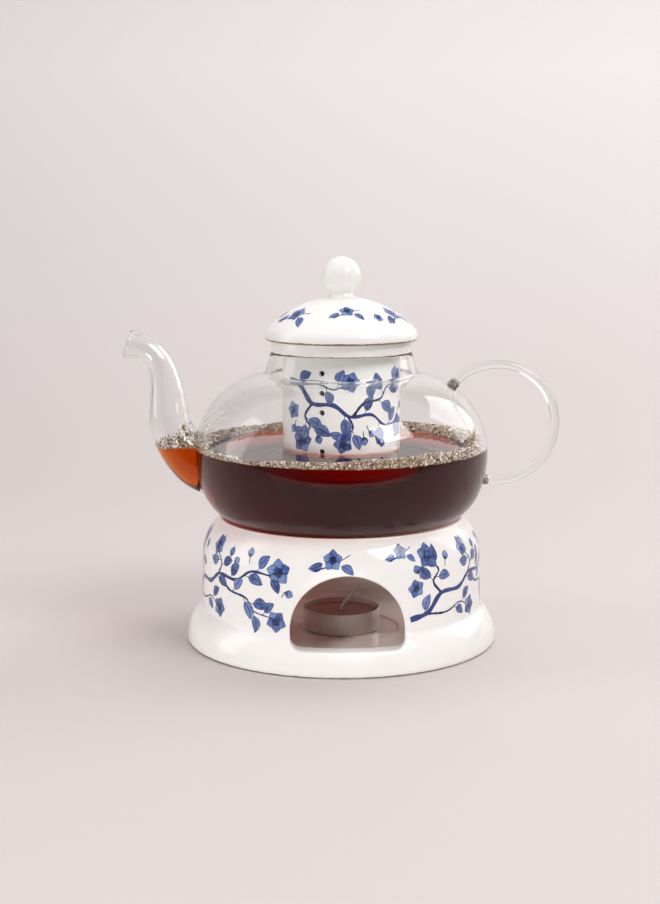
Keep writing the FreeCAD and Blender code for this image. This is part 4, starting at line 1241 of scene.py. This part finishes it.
studio = {
    "sweepFront": -0.335, "sweepBack": 1.1, "sweepBend": 0.7, "sweepTop": 2.2, "sweepWide": 2.6,
    "floor": tint(209, 201, 200), "wall": tint(232, 227, 227), "wallFrom": 0.35,
    "world": tint(236, 232, 231), "worldFront": 0.03, "worldBack": 0.95, "worldSeen": 0.85,
    # place, aim, width and height, watts, seen in gloss and glass
    "boxes": {
        "softBoxKey": ((0.72, -0.62, 1.0), (0, 0, 0.09), (0.6, 0.5), 7.5, True),
        "softBoxRight": ((0.95, 0.62, 0.66), (0, 0, 0.12), (0.75, 0.8), 4.2, True),
        "softBoxLeft": ((-1.1, 0.0, 0.5), (0, 0, 0.09), (0.4, 1.0), 2.2, True),
        "softBoxTop": ((0.1, 0.35, 1.35), (0, 0.3, 0.09), (1.1, 1.1), 8.3, False),
        "fillFront": ((-0.38, -0.95, 0.1), (0, 0, 0.04), (0.5, 0.16), 4.6, False),
    },
    # a narrow beam from the left of the camera that reaches through the front arch
    "snoot": {"place": (-0.25, -0.75, 0.55), "aim": (0.002, -0.068, 0.027), "angle": 2.4, "watts": 16.0,
              "blend": 0.6, "softness": 0.006},
}
# the camera stands in front at the photograph's height and looks a little down
cameraView = {"place": (-0.0055, -0.7923, 0.2194), "down": 9.1, "focalPixels": 1634.3, "framePixels": 904,
              "sensor": 36.0}


# floor, quarter bend and upright wall as one strip along X
def makeSweep():
    bend, back = studio["sweepBend"], studio["sweepBack"]
    turn = np.linspace(0, pi / 2, 40)
    y = np.concatenate([[studio["sweepFront"]], back - bend + bend * np.sin(turn), [back]])
    z = np.concatenate([[0], bend - bend * np.cos(turn), [studio["sweepTop"]]])
    x = np.array([-studio["sweepWide"], studio["sweepWide"]])
    grid = np.stack(np.broadcast_arrays(x, y[:, None], z[:, None]), -1) / mm
    sweep = meshFrom("sweep", grid, gridQuads(len(y), 2))
    material, tree, shader = newMaterial("sweepPaper")
    height = splitVector(tree, objectPlace(tree))[2]
    rise = addNode(tree, "MapRange", {"Value": height, "From Max": studio["wallFrom"]})
    colour = mixColours(tree, rise.outputs["Result"], studio["floor"], studio["wall"])
    feed(tree, shader, {"Base Color": colour, "Roughness": 0.9, "Specular IOR Level": 0.1})
    sweep.data.materials.append(material)


def addLamp(name, kind, place, aim, watts, seen):
    lamp = bpy.data.lights.new(name, kind)
    lamp.energy = watts
    holder = linkObject(name, lamp)
    holder.location = place
    holder.visible_glossy = holder.visible_transmission = seen
    holder.rotation_euler = (Vector(aim) - Vector(place)).to_track_quat("-Z", "Y").to_euler()
    return lamp


def makeLamps():
    for name, (place, aim, size, watts, seen) in studio["boxes"].items():
        lamp = addLamp(name, "AREA", place, aim, watts, seen)
        lamp.shape = "RECTANGLE"
        lamp.size, lamp.size_y = size
    snoot = studio["snoot"]
    lamp = addLamp("archSnoot", "SPOT", snoot["place"], snoot["aim"], snoot["watts"], False)
    lamp.spot_size, lamp.spot_blend = radians(snoot["angle"]), snoot["blend"]
    lamp.shadow_soft_size = snoot["softness"]


# the world is brighter behind the object than in front, and pale where the camera sees it
def makeWorld():
    world = bpy.data.worlds.new("studio")
    bpy.context.scene.world = world
    world.use_nodes = True
    tree = world.node_tree
    toBack = splitVector(tree, addNode(tree, "TexCoord").outputs["Generated"])[1]
    fade = addNode(tree, "MapRange", {"Value": toBack, "From Min": -1.0, "From Max": 0.6,
                                      "To Min": studio["worldFront"], "To Max": studio["worldBack"]})
    cameraRay = addNode(tree, "LightPath").outputs["Is Camera Ray"]
    seen = mathNode(tree, "MULTIPLY", cameraRay, studio["worldSeen"])
    strength = mathNode(tree, "MAXIMUM", fade.outputs["Result"], seen)
    feed(tree, tree.nodes["Background"], {"Color": studio["world"], "Strength": strength})


def makeCamera():
    camera = bpy.data.cameras.new("camera")
    camera.sensor_width = cameraView["sensor"]
    camera.lens = cameraView["focalPixels"] / cameraView["framePixels"] * cameraView["sensor"]
    holder = linkObject("camera", camera)
    holder.location = cameraView["place"]
    holder.rotation_euler = (radians(90 - cameraView["down"]), 0, 0)
    bpy.context.scene.camera = holder


makeSweep()
makeWorld()
makeLamps()
makeCamera()
bpy.context.scene.view_settings.view_transform = "Standard"
print("studio ready")
